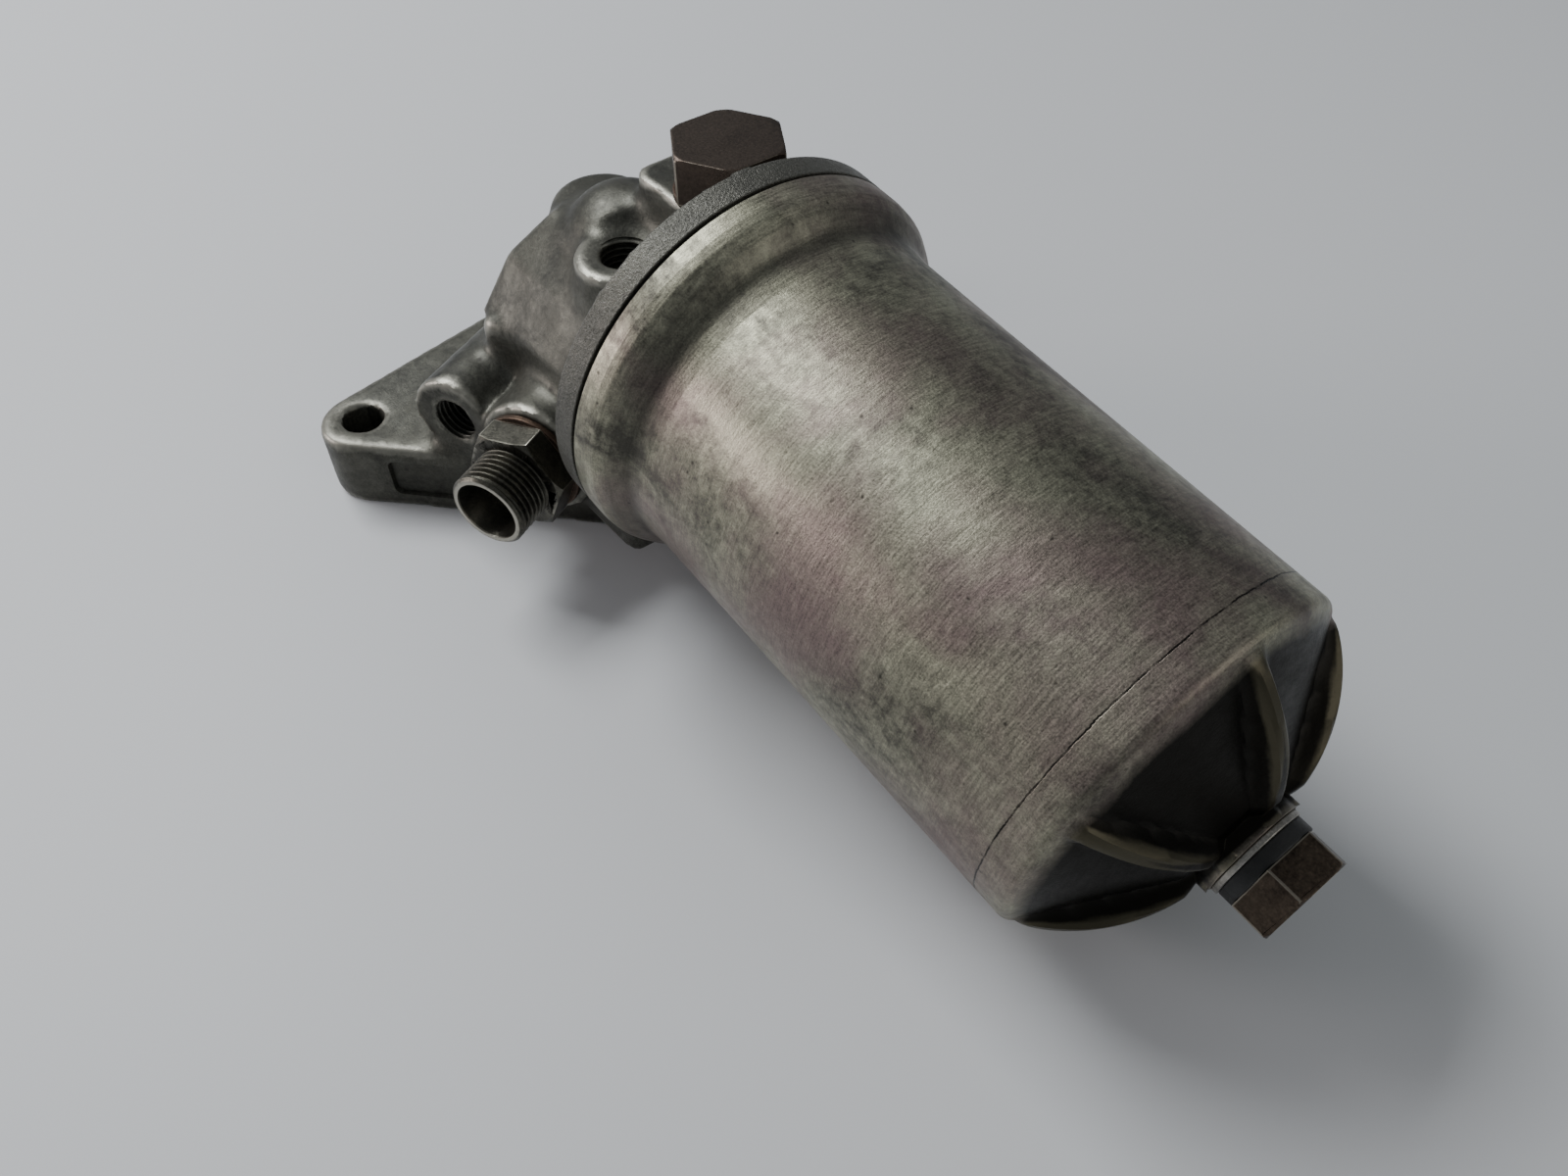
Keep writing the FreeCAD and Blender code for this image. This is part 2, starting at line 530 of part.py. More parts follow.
def headBores():
    """Everything that is drilled, bored or spot-faced in the casting."""
    hole = value("flangeHoleY")
    gap = value("chamberTop")
    narrow = value("passage")
    chamber = Part.makeCylinder(value("chamberRadius"), gap + value("locatorEnd"), Vector(0, 0, -gap))
    deep = value("nippleTop")
    centre = Part.makeCylinder(value("nippleRadius"), deep + 1, Vector(0, 0, -deep))
    annulus = Part.makeCylinder(value("nippleRadius") + 1.5, 3.4, Vector(0, 0, -gap - 4.2))
    axial = Part.makeCylinder(value("nippleBore"), deep + 12, Vector(0, 0, -deep - 12))
    cuts = [chamber, centre, annulus, axial]
    for cut in cuts:
        cut.Placement = CANISTER
    for side in (-1, 1):
        cuts.append(Part.makeCylinder(value("flangeHole"), 60, Vector(0, side * hole, -5)))
    cuts.append(borehole(value("portBore"), value("portDepth"), PORT))
    cuts.append(borehole(value("portBore"), value("portDepth"), TOP_PORT))
    spot = Part.makeCylinder(value("spotRadius"), 20)
    spot.Placement = TOP_PORT
    cuts.append(spot)
    cuts.append(borehole(value("unionBore"), value("unionDepth"), UNION))
    cuts.append(Part.makeCylinder(value("plugClearance"), 40, PLUG.Base + UP * value("padTop")))
    cuts.append(Part.makeCylinder(value("plugBore"), 40, PLUG.Base + UP * value("plugBoreFloor")))
    cuts.append(Part.makeCylinder(value("valveBore"), 40, PLUG.Base + UP * value("valveFloor")))
    annulusPoint = CANISTER.multVec(Vector(0, 0, -gap - 2.5))
    bend = PORT.multVec(Vector(0, 0, -value("portBend")))
    cuts.append(between(narrow, PORT.multVec(Vector(0, 0, -value("portDepth"))), bend))
    cuts.append(between(narrow, bend, annulusPoint))
    cuts.append(between(narrow, TOP_PORT.multVec(Vector(0, 0, -value("portDepth") + 1)),
                        CANISTER.multVec(Vector(0, -14, -gap + 1))))
    cuts.append(between(narrow, UNION.multVec(Vector(0, 0, -value("unionDepth"))),
                        CANISTER.multVec(Vector(12, -17, -gap + 1))))
    cuts.append(between(narrow, PLUG.Base + UP * (value("valveFloor") + 1),
                        CANISTER.multVec(Vector(4, 14, -gap + 1))))
    return cuts


def makeHead():
    solid = flangeShape().fuse([blockShape(), hubShape()] + bossShapes())
    beyond = Part.makeCylinder(60, 60, Vector(0, 0, -value("mouthFace")))
    locator = Part.makeCylinder(value("locatorRadius"), 62, Vector(0, 0, -value("mouthFace") - 1))
    beyond = beyond.cut(locator)
    beyond.Placement = CANISTER
    for tool in [beyond] + headBores():
        solid = solid.cut(tool)
    head = doc.addObject("Part::Feature", "HeadCasting")
    head.Shape = solid
    keep(head, "filter_head")


def writeParts():
    doc.recompute()
    for thing in doc.Objects:
        if "Invalid" in thing.State or "Error" in thing.State:
            raise RuntimeError(f"{thing.Name} did not build: {thing.State}")
    os.makedirs("parts", exist_ok=True)
    for thing in parts:
        shape = thing.Shape
        if shape.isNull() or not shape.isValid() or len(shape.Solids) != 1:
            raise RuntimeError(f"{thing.Label} is not one valid solid")
        shape.exportStep(f"parts/{thing.Label}.step")
        print(f"{thing.Label:16s} {shape.Volume:12.1f} mm3")


makeBowl()
keep(ring("RimSeal", "sealInner", "sealOuter", "- mouthFace", "mouthFace"), "rim_seal", CANISTER)
makeCentreBolt()
makeBoltFittings()
makeElement()
makeNipple()
makePlugAndValve()
makeUnion()
makeHead()
writeParts()
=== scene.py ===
import math

import bmesh
import bpy
import numpy as np
from mathutils import Matrix, Vector, kdtree, noise


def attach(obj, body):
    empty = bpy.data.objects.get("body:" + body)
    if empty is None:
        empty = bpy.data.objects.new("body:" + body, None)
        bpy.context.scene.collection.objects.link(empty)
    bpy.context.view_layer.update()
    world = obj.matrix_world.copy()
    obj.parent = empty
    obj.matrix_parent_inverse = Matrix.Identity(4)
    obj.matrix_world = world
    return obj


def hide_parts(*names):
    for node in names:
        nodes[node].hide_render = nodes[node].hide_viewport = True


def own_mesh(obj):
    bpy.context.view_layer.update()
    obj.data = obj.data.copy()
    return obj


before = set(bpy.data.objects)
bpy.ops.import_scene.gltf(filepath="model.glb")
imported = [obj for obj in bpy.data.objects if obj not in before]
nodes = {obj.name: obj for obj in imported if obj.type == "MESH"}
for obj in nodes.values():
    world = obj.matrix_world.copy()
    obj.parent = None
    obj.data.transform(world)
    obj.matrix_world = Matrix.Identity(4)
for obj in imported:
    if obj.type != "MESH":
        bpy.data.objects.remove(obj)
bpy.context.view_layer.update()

# A cartridge fuel filter: cast head, bowl, long centre bolt, plug, outlet union and the element inside.
# Sizes in the dictionaries are in millimetres; the meshes are in metres.
mm = 0.001
canister = Matrix.Translation((0.0805, 0, 0.054)) @ Matrix.Rotation(math.radians(98), 4, "Y")
sideways = Matrix.Rotation(math.radians(-65), 4, "Z") @ Matrix.Rotation(math.radians(90), 4, "Y")
unionPlace = Matrix.Translation((0.0489, -0.0378, 0.027)) @ sideways
portPlace = Matrix.Translation((0.0267, -0.0459, 0.0279)) @ sideways
topPortPlace = Matrix.Translation((0.051, -0.0094, 0.070))
plugPlace = Matrix.Translation((0.0615, 0.0106, 0))
upright = Matrix.Identity(4)
# the flange: hole from the middle, ear radius, heading of its long side
flangeHoles, flangeEar, flangeSide = 58.4, 10.5, math.radians(-47.13)


def raised(place, height):
    # the same place, some millimetres up its own axis
    return place @ Matrix.Translation((0, 0, height * mm))


def meshObject(name, points, faces, place=upright):
    # points in millimetres
    mesh = bpy.data.meshes.new(name)
    mesh.from_pydata([tuple(p) for p in np.asarray(points, float) * mm], [], faces)
    mesh.transform(place)
    thing = bpy.data.objects.new(name, mesh)
    bpy.context.scene.collection.objects.link(thing)
    tidyMesh(thing)
    return thing


def tidyMesh(thing, gap=1e-6):
    work = bmesh.new()
    work.from_mesh(thing.data)
    bmesh.ops.remove_doubles(work, verts=work.verts, dist=gap)
    bmesh.ops.recalc_face_normals(work, faces=work.faces)
    work.to_mesh(thing.data)
    work.free()


def straight(*corners):
    # (radius, height) corners with no fillets
    return [Vector(corner) for corner in corners]


def rounded(corners, step=12):
    # (radius, height, fillet) corners to a smooth outline of (radius, height) points
    outline = []
    count = len(corners)
    for index, (across, along, fillet) in enumerate(corners):
        here = Vector((across, along))
        before = Vector(corners[index - 1][:2]) - here
        after = Vector(corners[(index + 1) % count][:2]) - here
        if fillet <= 0 or before.length < 1e-6 or after.length < 1e-6:
            outline.append(here)
            continue
        half = before.angle(after) / 2
        back = min(fillet / math.tan(half), before.length * 0.49, after.length * 0.49)
        start, end = here + before.normalized() * back, here + after.normalized() * back
        pieces = max(2, int(math.degrees(math.pi - 2 * half) / step))
        for part in range(pieces + 1):
            t = part / pieces
            outline.append(start * (1 - t) ** 2 + here * 2 * t * (1 - t) + end * t * t)
    return outline


def denser(outline, longest):
    # extra points on long runs of a closed outline
    points = []
    for index, start in enumerate(outline):
        end = outline[(index + 1) % len(outline)]
        pieces = max(1, math.ceil((end - start).length / longest))
        points += [start.lerp(end, part / pieces) for part in range(pieces)]
    return points


def lathe(name, outline, place=upright, steps=96):
    # a closed outline of (radius, height) turned about the height axis
    angles = np.arange(steps) * 2 * math.pi / steps
    points, faces = [], []
    for across, along in outline:
        points += [(across * math.cos(a), across * math.sin(a), along) for a in angles]
    count = len(outline)
    for row in range(count):
        following = (row + 1) % count
        if outline[row][0] < 1e-6 and outline[following][0] < 1e-6:
            continue
        for spoke in range(steps):
            beside = (spoke + 1) % steps
            faces.append((row * steps + spoke, row * steps + beside,
                          following * steps + beside, following * steps + spoke))
    return meshObject(name, points, faces, place)


def prism(name, sides, flats, start, end, place=upright, turn=0.0):
    # a regular bar, such as a hexagon's
    reach = flats / 2 / math.cos(math.pi / sides)
    angles = [turn + 2 * math.pi * i / sides for i in range(sides)]
    corners = [(reach * math.cos(angle), reach * math.sin(angle)) for angle in angles]
    points = [(x, y, start) for x, y in corners] + [(x, y, end) for x, y in corners]
    faces = [tuple(range(sides))[::-1], tuple(range(sides, 2 * sides))]
    faces += [(i, (i + 1) % sides, sides + (i + 1) % sides, sides + i) for i in range(sides)]
    return meshObject(name, points, faces, place)


def bake(thing):
    # the evaluated result as a plain mesh, with no modifier left
    result = bpy.data.meshes.new_from_object(thing.evaluated_get(bpy.context.evaluated_depsgraph_get()))
    thing.modifiers.clear()
    old = thing.data
    thing.data = result
    result.name = thing.name
    if old.users == 0:
        bpy.data.meshes.remove(old)
    return thing


def combine(thing, tool, operation):
    change = thing.modifiers.new(operation.title(), "BOOLEAN")
    change.operation = operation
    change.solver = "MANIFOLD"
    change.object = tool
    bake(thing)
    bpy.data.objects.remove(tool)
    return thing


def cut(thing, tool):
    return combine(thing, tool, "DIFFERENCE")


def add(thing, tool):
    return combine(thing, tool, "UNION")


def soften(thing, width, angle=35, segments=2):
    edge = thing.modifiers.new("Edges", "BEVEL")
    edge.width = width * mm
    edge.segments = segments
    edge.limit_method = "ANGLE"
    edge.angle_limit = math.radians(angle)
    edge.harden_normals = False
    return bake(thing)


def hexHead(name, size, place):
    # a spanner hexagon, its outer corners cut back by a cone
    bar = prism(name, 6, size["flats"], size["start"], size["end"], place, math.radians(size["turn"]))
    reach = size["flats"] * 0.6
    crown = size["flats"] * size["crown"]
    slope = (reach - crown) * 0.6
    start, end = size["start"] - 1, size["end"]
    trim = lathe("tool", straight((0, start), (reach, start), (reach, end - slope), (crown, end),
                                  (0, end)), place, 96)
    return innerLoops(soften(combine(bar, trim, "INTERSECT"), 0.22, 20), 0.45)


def innerLoops(thing, width, smallest=20):
    # a loop of points a little inside each large flat face keeps its shading and its wear at the edge
    work = bmesh.new()
    work.from_mesh(thing.data)
    large = [face for face in work.faces if face.calc_area() > smallest * mm * mm]
    bmesh.ops.inset_individual(work, faces=large, thickness=width * mm, use_even_offset=False)
    work.to_mesh(thing.data)
    work.free()
    return thing


def copyNode(name, newName):
    thing = bpy.data.objects.new(newName, nodes[name].data.copy())
    bpy.context.scene.collection.objects.link(thing)
    thing.data.materials.clear()
    tidyMesh(thing, 2e-6)
    return thing


def shade(thing, angle=32):
    thing.data.shade_smooth()
    thing.data.set_sharp_from_angle(angle=math.radians(angle))
    return thing


def finishPiece(thing, body, slot, look, *replaced):
    # smooth shading, material, body and the parts it stands for
    shade(thing)
    thing.data.materials.clear()
    thing.data.materials.append(look)
    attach(thing, body)
    if replaced:
        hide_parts(*replaced)
    return thing


def vertexArray(mesh):
    points = np.zeros(len(mesh.vertices) * 3, np.float32)
    mesh.vertices.foreach_get("co", points)
    return points.reshape(-1, 3).astype(float)


def normalArray(mesh):
    normals = np.zeros(len(mesh.vertices) * 3, np.float32)
    mesh.vertices.foreach_get("normal", normals)
    return normals.reshape(-1, 3)


def edgeArray(mesh):
    edges = np.zeros(len(mesh.edges) * 2, np.int64)
    mesh.edges.foreach_get("vertices", edges)
    return edges.reshape(-1, 2)


def writeVertices(mesh, points):
    mesh.vertices.foreach_set("co", points.astype(np.float32).ravel())
    mesh.update()


def writeAttribute(mesh, name, values):
    layer = mesh.attributes.get(name) or mesh.attributes.new(name, "FLOAT", "POINT")
    layer.data.foreach_set("value", values.astype(np.float32))


def neighbourMean(points, edges, rounds):
    # points drawn towards their neighbours, some rounds over
    count = len(points)
    share = np.bincount(edges.ravel(), minlength=count).astype(float)
    share[share == 0] = 1
    for _ in range(rounds):
        total = np.stack([np.bincount(edges[:, 0], points[edges[:, 1], k], count)
                          + np.bincount(edges[:, 1], points[edges[:, 0], k], count) for k in range(3)], 1)
        points = points * 0.4 + total / share[:, None] * 0.6
    return points


def castFillets(mesh, rounds, hollow, edge):
    # rounds the hollows of a cast surface a lot and its edges a little
    edges = edgeArray(mesh)
    for _ in range(rounds):
        points = vertexArray(mesh)
        pull = neighbourMean(points, edges, 1) - points
        inHollow = (pull * normalArray(mesh)).sum(1) > 0
        writeVertices(mesh, points + pull * np.where(inHollow, hollow, edge)[:, None])


def curvature(mesh, rounds):
    # how far each point stands out of the surface round it, in millimetres: edges above 0, hollows below
    points = vertexArray(mesh)
    moved = neighbourMean(points, edgeArray(mesh), rounds)
    return ((points - moved) * normalArray(mesh)).sum(1) / mm


def wearMaps(mesh, bend, edge, hollow):
    # what the metals read: 0 to 1 on rubbed edges, 0 to 1 of painted shade in the hollows
    writeAttribute(mesh, "edgeWear", np.clip(bend * edge, 0, 1))
    writeAttribute(mesh, "paintedHollowShade", np.clip(-bend * hollow, 0, 1))


class treeSketch:
    # a node tree that is written down one step at a time

    def __init__(self, name, sizes):
        self.tree = bpy.data.node_groups.new(name, "GeometryNodeTree")
        self.face = self.tree.interface
        self.face.new_socket("Geometry", in_out="INPUT", socket_type="NodeSocketGeometry")
        for label, value in sizes.items():
            kind = "NodeSocketInt" if isinstance(value, int) else "NodeSocketFloat"
            self.face.new_socket(label, in_out="INPUT", socket_type=kind).default_value = value
        self.face.new_socket("Material", in_out="INPUT", socket_type="NodeSocketMaterial")
        self.face.new_socket("Geometry", in_out="OUTPUT", socket_type="NodeSocketGeometry")
        self.given = self.tree.nodes.new("NodeGroupInput").outputs

    def node(self, kind, inputs=(), **settings):
        made = self.tree.nodes.new(kind)
        for key, value in settings.items():
            setattr(made, key, value)
        for key, value in dict(inputs).items():
            self.feed(made.inputs[key], value)
        return made

    def feed(self, socket, value):
        if isinstance(value, bpy.types.NodeSocket):
            self.tree.links.new(value, socket)
        else:
            socket.default_value = value

    def sum(self, operation, first, second=0.0, third=0.0):
        made = self.node("ShaderNodeMath", {0: first, 1: second, 2: third}, operation=operation)
        return made.outputs[0]

    def ramp(self, value, low, high, start=0.0, end=1.0):
        made = self.node("ShaderNodeMapRange", {0: value, 1: low, 2: high, 3: start, 4: end},
                         interpolation_type="SMOOTHSTEP")
        return made.outputs[0]

    def finish(self, geometry):
        real = self.node("GeometryNodeRealizeInstances", {"Geometry": geometry})
        painted = self.node("GeometryNodeSetMaterial", {"Geometry": real.outputs[0],
                                                        "Material": self.given["Material"]})
        self.node("NodeGroupOutput", {0: painted.outputs[0]})
        return self.tree


def grow(name, tree, sizes, look=None, place=upright, base=None):
    # run a tree with these sizes and keep the plain mesh
    thing = base or meshObject(name, [(0, 0, 0)], [])
    grower = thing.modifiers.new(name, "NODES")
    grower.node_group = tree
    for item in tree.interface.items_tree:
        if item.item_type == "SOCKET" and item.in_out == "INPUT":
            if item.name in sizes:
                grower[item.identifier] = sizes[item.name]
            elif item.name == "Material" and look:
                grower[item.identifier] = look
    bake(thing)
    thing.data.transform(place)
    tidyMesh(thing)
    return thing


def threadTree():
    # a closed round bar with a screw thread along it, from height 0 upwards
    t = treeSketch("screwThread", {
        "Radius": 8.0, "Depth": 0.9, "Pitch": 1.5, "Length": 12.0, "Plain start": 0.0, "Plain end": 0.0,
        "Chamfer": 0.8, "Around": 48, "Rows": 90})
    g = t.given
    grid = t.node("GeometryNodeMeshGrid", {"Size X": 1.0, "Size Y": 1.0, "Vertices X": g["Around"],
                                           "Vertices Y": g["Rows"]}).outputs[0]
    where = t.node("ShaderNodeSeparateXYZ", {0: t.node("GeometryNodeInputPosition").outputs[0]}).outputs
    u, v = t.sum("ADD", where[0], 0.5), t.sum("ADD", where[1], 0.5)
    last = t.sum("SUBTRACT", g["Rows"], 1.0)
    row = t.sum("ROUND", t.sum("MULTIPLY", v, last))
    part = t.sum("DIVIDE", t.sum("SUBTRACT", row, 1.0), t.sum("SUBTRACT", last, 2.0))
    height = t.sum("MULTIPLY", t.node("ShaderNodeClamp", {0: part}).outputs[0], g["Length"])
    turns = t.sum("SUBTRACT", t.sum("DIVIDE", height, g["Pitch"]), u)
    wave = t.sum("PINGPONG", turns, 0.5)  # 0 to 0.5 and back once a turn
    valley = t.ramp(wave, 0.06, 0.44)
    begun = t.ramp(height, t.sum("SUBTRACT", g["Plain start"], 0.6), t.sum("ADD", g["Plain start"], 0.6))
    until = t.sum("SUBTRACT", g["Length"], g["Plain end"])
    running = t.ramp(height, t.sum("SUBTRACT", until, 0.5), t.sum("ADD", until, 0.5), 1.0, 0.0)
    begun = t.sum("MULTIPLY", begun, running)
    deep = t.sum("MULTIPLY", t.sum("MULTIPLY", valley, begun), g["Depth"])
    fromEnd = t.sum("MINIMUM", height, t.sum("SUBTRACT", g["Length"], height))
    shaved = t.sum("MAXIMUM", t.sum("SUBTRACT", g["Chamfer"], fromEnd), 0.0)
    radius = t.sum("MINIMUM", t.sum("SUBTRACT", g["Radius"], deep), t.sum("SUBTRACT", g["Radius"], shaved))
    beforeEnd = t.sum("LESS_THAN", row, t.sum("SUBTRACT", last, 0.5))
    inside = t.sum("MULTIPLY", t.sum("GREATER_THAN", row, 0.5), beforeEnd)
    radius = t.sum("MULTIPLY", t.sum("MULTIPLY", radius, inside), mm)
    angle = t.sum("MULTIPLY", u, 2 * math.pi)
    place = t.node("ShaderNodeCombineXYZ", {0: t.sum("MULTIPLY", radius, t.sum("COSINE", angle)),
                                            1: t.sum("MULTIPLY", radius, t.sum("SINE", angle)),
                                            2: t.sum("MULTIPLY", height, mm)}).outputs[0]
    moved = t.node("GeometryNodeSetPosition", {"Geometry": grid, "Position": place}).outputs[0]
    closed = t.node("GeometryNodeMergeByDistance", {"Geometry": moved, "Distance": 1e-6}).outputs[0]
    return t.finish(closed)


def ribTree():
    # raises bowed ribs on a cone; the piece's axis is Z
    t = treeSketch("coneRibs", {"Count": 6, "Height": 4.4, "Half width": 2.4, "Inner": 9.0, "Outer": 36.5,
                                "Slope": 50.0, "From height": 113.0, "Until height": 134.0})
    g = t.given
    where = t.node("ShaderNodeSeparateXYZ", {0: t.node("GeometryNodeInputPosition").outputs[0]}).outputs
    x, y, z = (t.sum("DIVIDE", w, mm) for w in where)
    radius = t.sum("SQRT", t.sum("ADD", t.sum("MULTIPLY", x, x), t.sum("MULTIPLY", y, y)))
    angle = t.sum("ARCTAN2", y, x)
    sector = t.sum("DIVIDE", 2 * math.pi, g["Count"])
    off = t.sum("WRAP", angle, t.sum("DIVIDE", sector, 2.0), t.sum("DIVIDE", sector, -2.0))
    across = t.sum("ABSOLUTE", t.sum("MULTIPLY", radius, t.sum("SINE", off)))
    span = t.sum("SUBTRACT", g["Outer"], g["Inner"])
    share = t.sum("DIVIDE", t.sum("SUBTRACT", radius, g["Inner"]), span)
    along = t.node("ShaderNodeClamp", {0: share}).outputs[0]
    bow = t.sum("POWER", t.sum("SINE", t.sum("MULTIPLY", along, math.pi)), 0.62)
    crest, foot = t.sum("MULTIPLY", g["Half width"], 0.40), t.sum("MULTIPLY", g["Half width"], 1.35)
    side = t.ramp(across, crest, foot, 1.0, 0.0)
    above = t.sum("GREATER_THAN", z, g["From height"])
    zone = t.sum("MULTIPLY", above, t.sum("LESS_THAN", z, g["Until height"]))
    tall = t.sum("MULTIPLY", g["Height"], t.sum("MULTIPLY", zone, mm))
    rise = t.sum("MULTIPLY", t.sum("MULTIPLY", bow, side), tall)
    tilt = t.sum("MULTIPLY", g["Slope"], math.pi / 180)
    flat = t.sum("MULTIPLY", rise, t.sum("COSINE", tilt))
    shift = t.node("ShaderNodeCombineXYZ", {0: t.sum("MULTIPLY", flat, t.sum("COSINE", angle)),
                                            1: t.sum("MULTIPLY", flat, t.sum("SINE", angle)),
                                            2: t.sum("MULTIPLY", rise, t.sum("SINE", tilt))}).outputs[0]
    raised = t.node("GeometryNodeSetPosition", {"Geometry": g["Geometry"], "Offset": shift}).outputs[0]
    return t.finish(raised)


def springTree():
    # a wound wire with closed ends
    t = treeSketch("woundSpring", {"Radius": 11.6, "Wire": 1.1, "Turns": 4.0, "Height": 18.0, "Steps": 36})
    g = t.given
    spiral = t.node("GeometryNodeCurveSpiral", {"Resolution": g["Steps"], "Rotations": g["Turns"],
                                                "Start Radius": t.sum("MULTIPLY", g["Radius"], mm),
                                                "End Radius": t.sum("MULTIPLY", g["Radius"], mm),
                                                "Height": t.sum("MULTIPLY", g["Height"], mm)}).outputs[0]
    height = t.sum("MULTIPLY", g["Height"], mm)
    place = t.node("ShaderNodeSeparateXYZ", {0: t.node("GeometryNodeInputPosition").outputs[0]}).outputs
    share = t.sum("DIVIDE", place[2], height)
    eased = t.ramp(share, 0.0, 1.0)  # lies flatter at both ends, as closed coils do
    lift = t.sum("MULTIPLY", t.sum("SUBTRACT", t.sum("ADD", t.sum("MULTIPLY", eased, 0.6),
                                                     t.sum("MULTIPLY", share, 0.4)), share), height)
    shaped = t.node("GeometryNodeSetPosition", {
        "Geometry": spiral, "Offset": t.node("ShaderNodeCombineXYZ", {2: lift}).outputs[0]}).outputs[0]
    wire = t.node("GeometryNodeCurvePrimitiveCircle", {"Resolution": 12,
                                                       "Radius": t.sum("MULTIPLY", g["Wire"], mm)}).outputs[0]
    tube = t.node("GeometryNodeCurveToMesh", {"Curve": shaped, "Profile Curve": wire, "Fill Caps": True})
    return t.finish(tube.outputs[0])


def pleatTree():
    # a sheet folded into a ring of pleats, from height 0 upwards
    t = treeSketch("pleatedSheet", {
        "Outer": 30.4, "Inner": 12.6, "Sheet": 1.3, "Height": 90.0, "Pleats": 60, "Around": 601})
    g = t.given
    grid = t.node("GeometryNodeMeshGrid", {"Size X": 1.0, "Size Y": 1.0, "Vertices X": g["Around"],
                                           "Vertices Y": 5}).outputs[0]
    where = t.node("ShaderNodeSeparateXYZ", {0: t.node("GeometryNodeInputPosition").outputs[0]}).outputs
    u, row = t.sum("ADD", where[0], 0.5), t.sum("ROUND", t.sum("MULTIPLY", t.sum("ADD", where[1], 0.5), 4.0))
    fold = t.sum("MULTIPLY", t.sum("PINGPONG", t.sum("MULTIPLY", u, g["Pleats"]), 0.5), 2.0)
    crest = t.ramp(fold, -0.12, 1.12)
    depth = t.sum("SUBTRACT", t.sum("SUBTRACT", g["Outer"], g["Inner"]), g["Sheet"])
    radius = t.sum("SUBTRACT", g["Outer"], t.sum("MULTIPLY", crest, depth))
    inside = t.sum("COMPARE", row, 2.5, 0.6)  # rows 2 and 3 are the sheet's inner side
    radius = t.sum("SUBTRACT", radius, t.sum("MULTIPLY", inside, g["Sheet"]))
    upper = t.sum("COMPARE", row, 1.5, 0.6)
    angle = t.sum("MULTIPLY", u, 2 * math.pi)
    place = t.node("ShaderNodeCombineXYZ", {
        0: t.sum("MULTIPLY", t.sum("MULTIPLY", radius, t.sum("COSINE", angle)), mm),
        1: t.sum("MULTIPLY", t.sum("MULTIPLY", radius, t.sum("SINE", angle)), mm),
        2: t.sum("MULTIPLY", t.sum("MULTIPLY", upper, g["Height"]), mm)}).outputs[0]
    moved = t.node("GeometryNodeSetPosition", {"Geometry": grid, "Position": place}).outputs[0]
    closed = t.node("GeometryNodeMergeByDistance", {"Geometry": moved, "Distance": 1e-6}).outputs[0]
    return t.finish(closed)


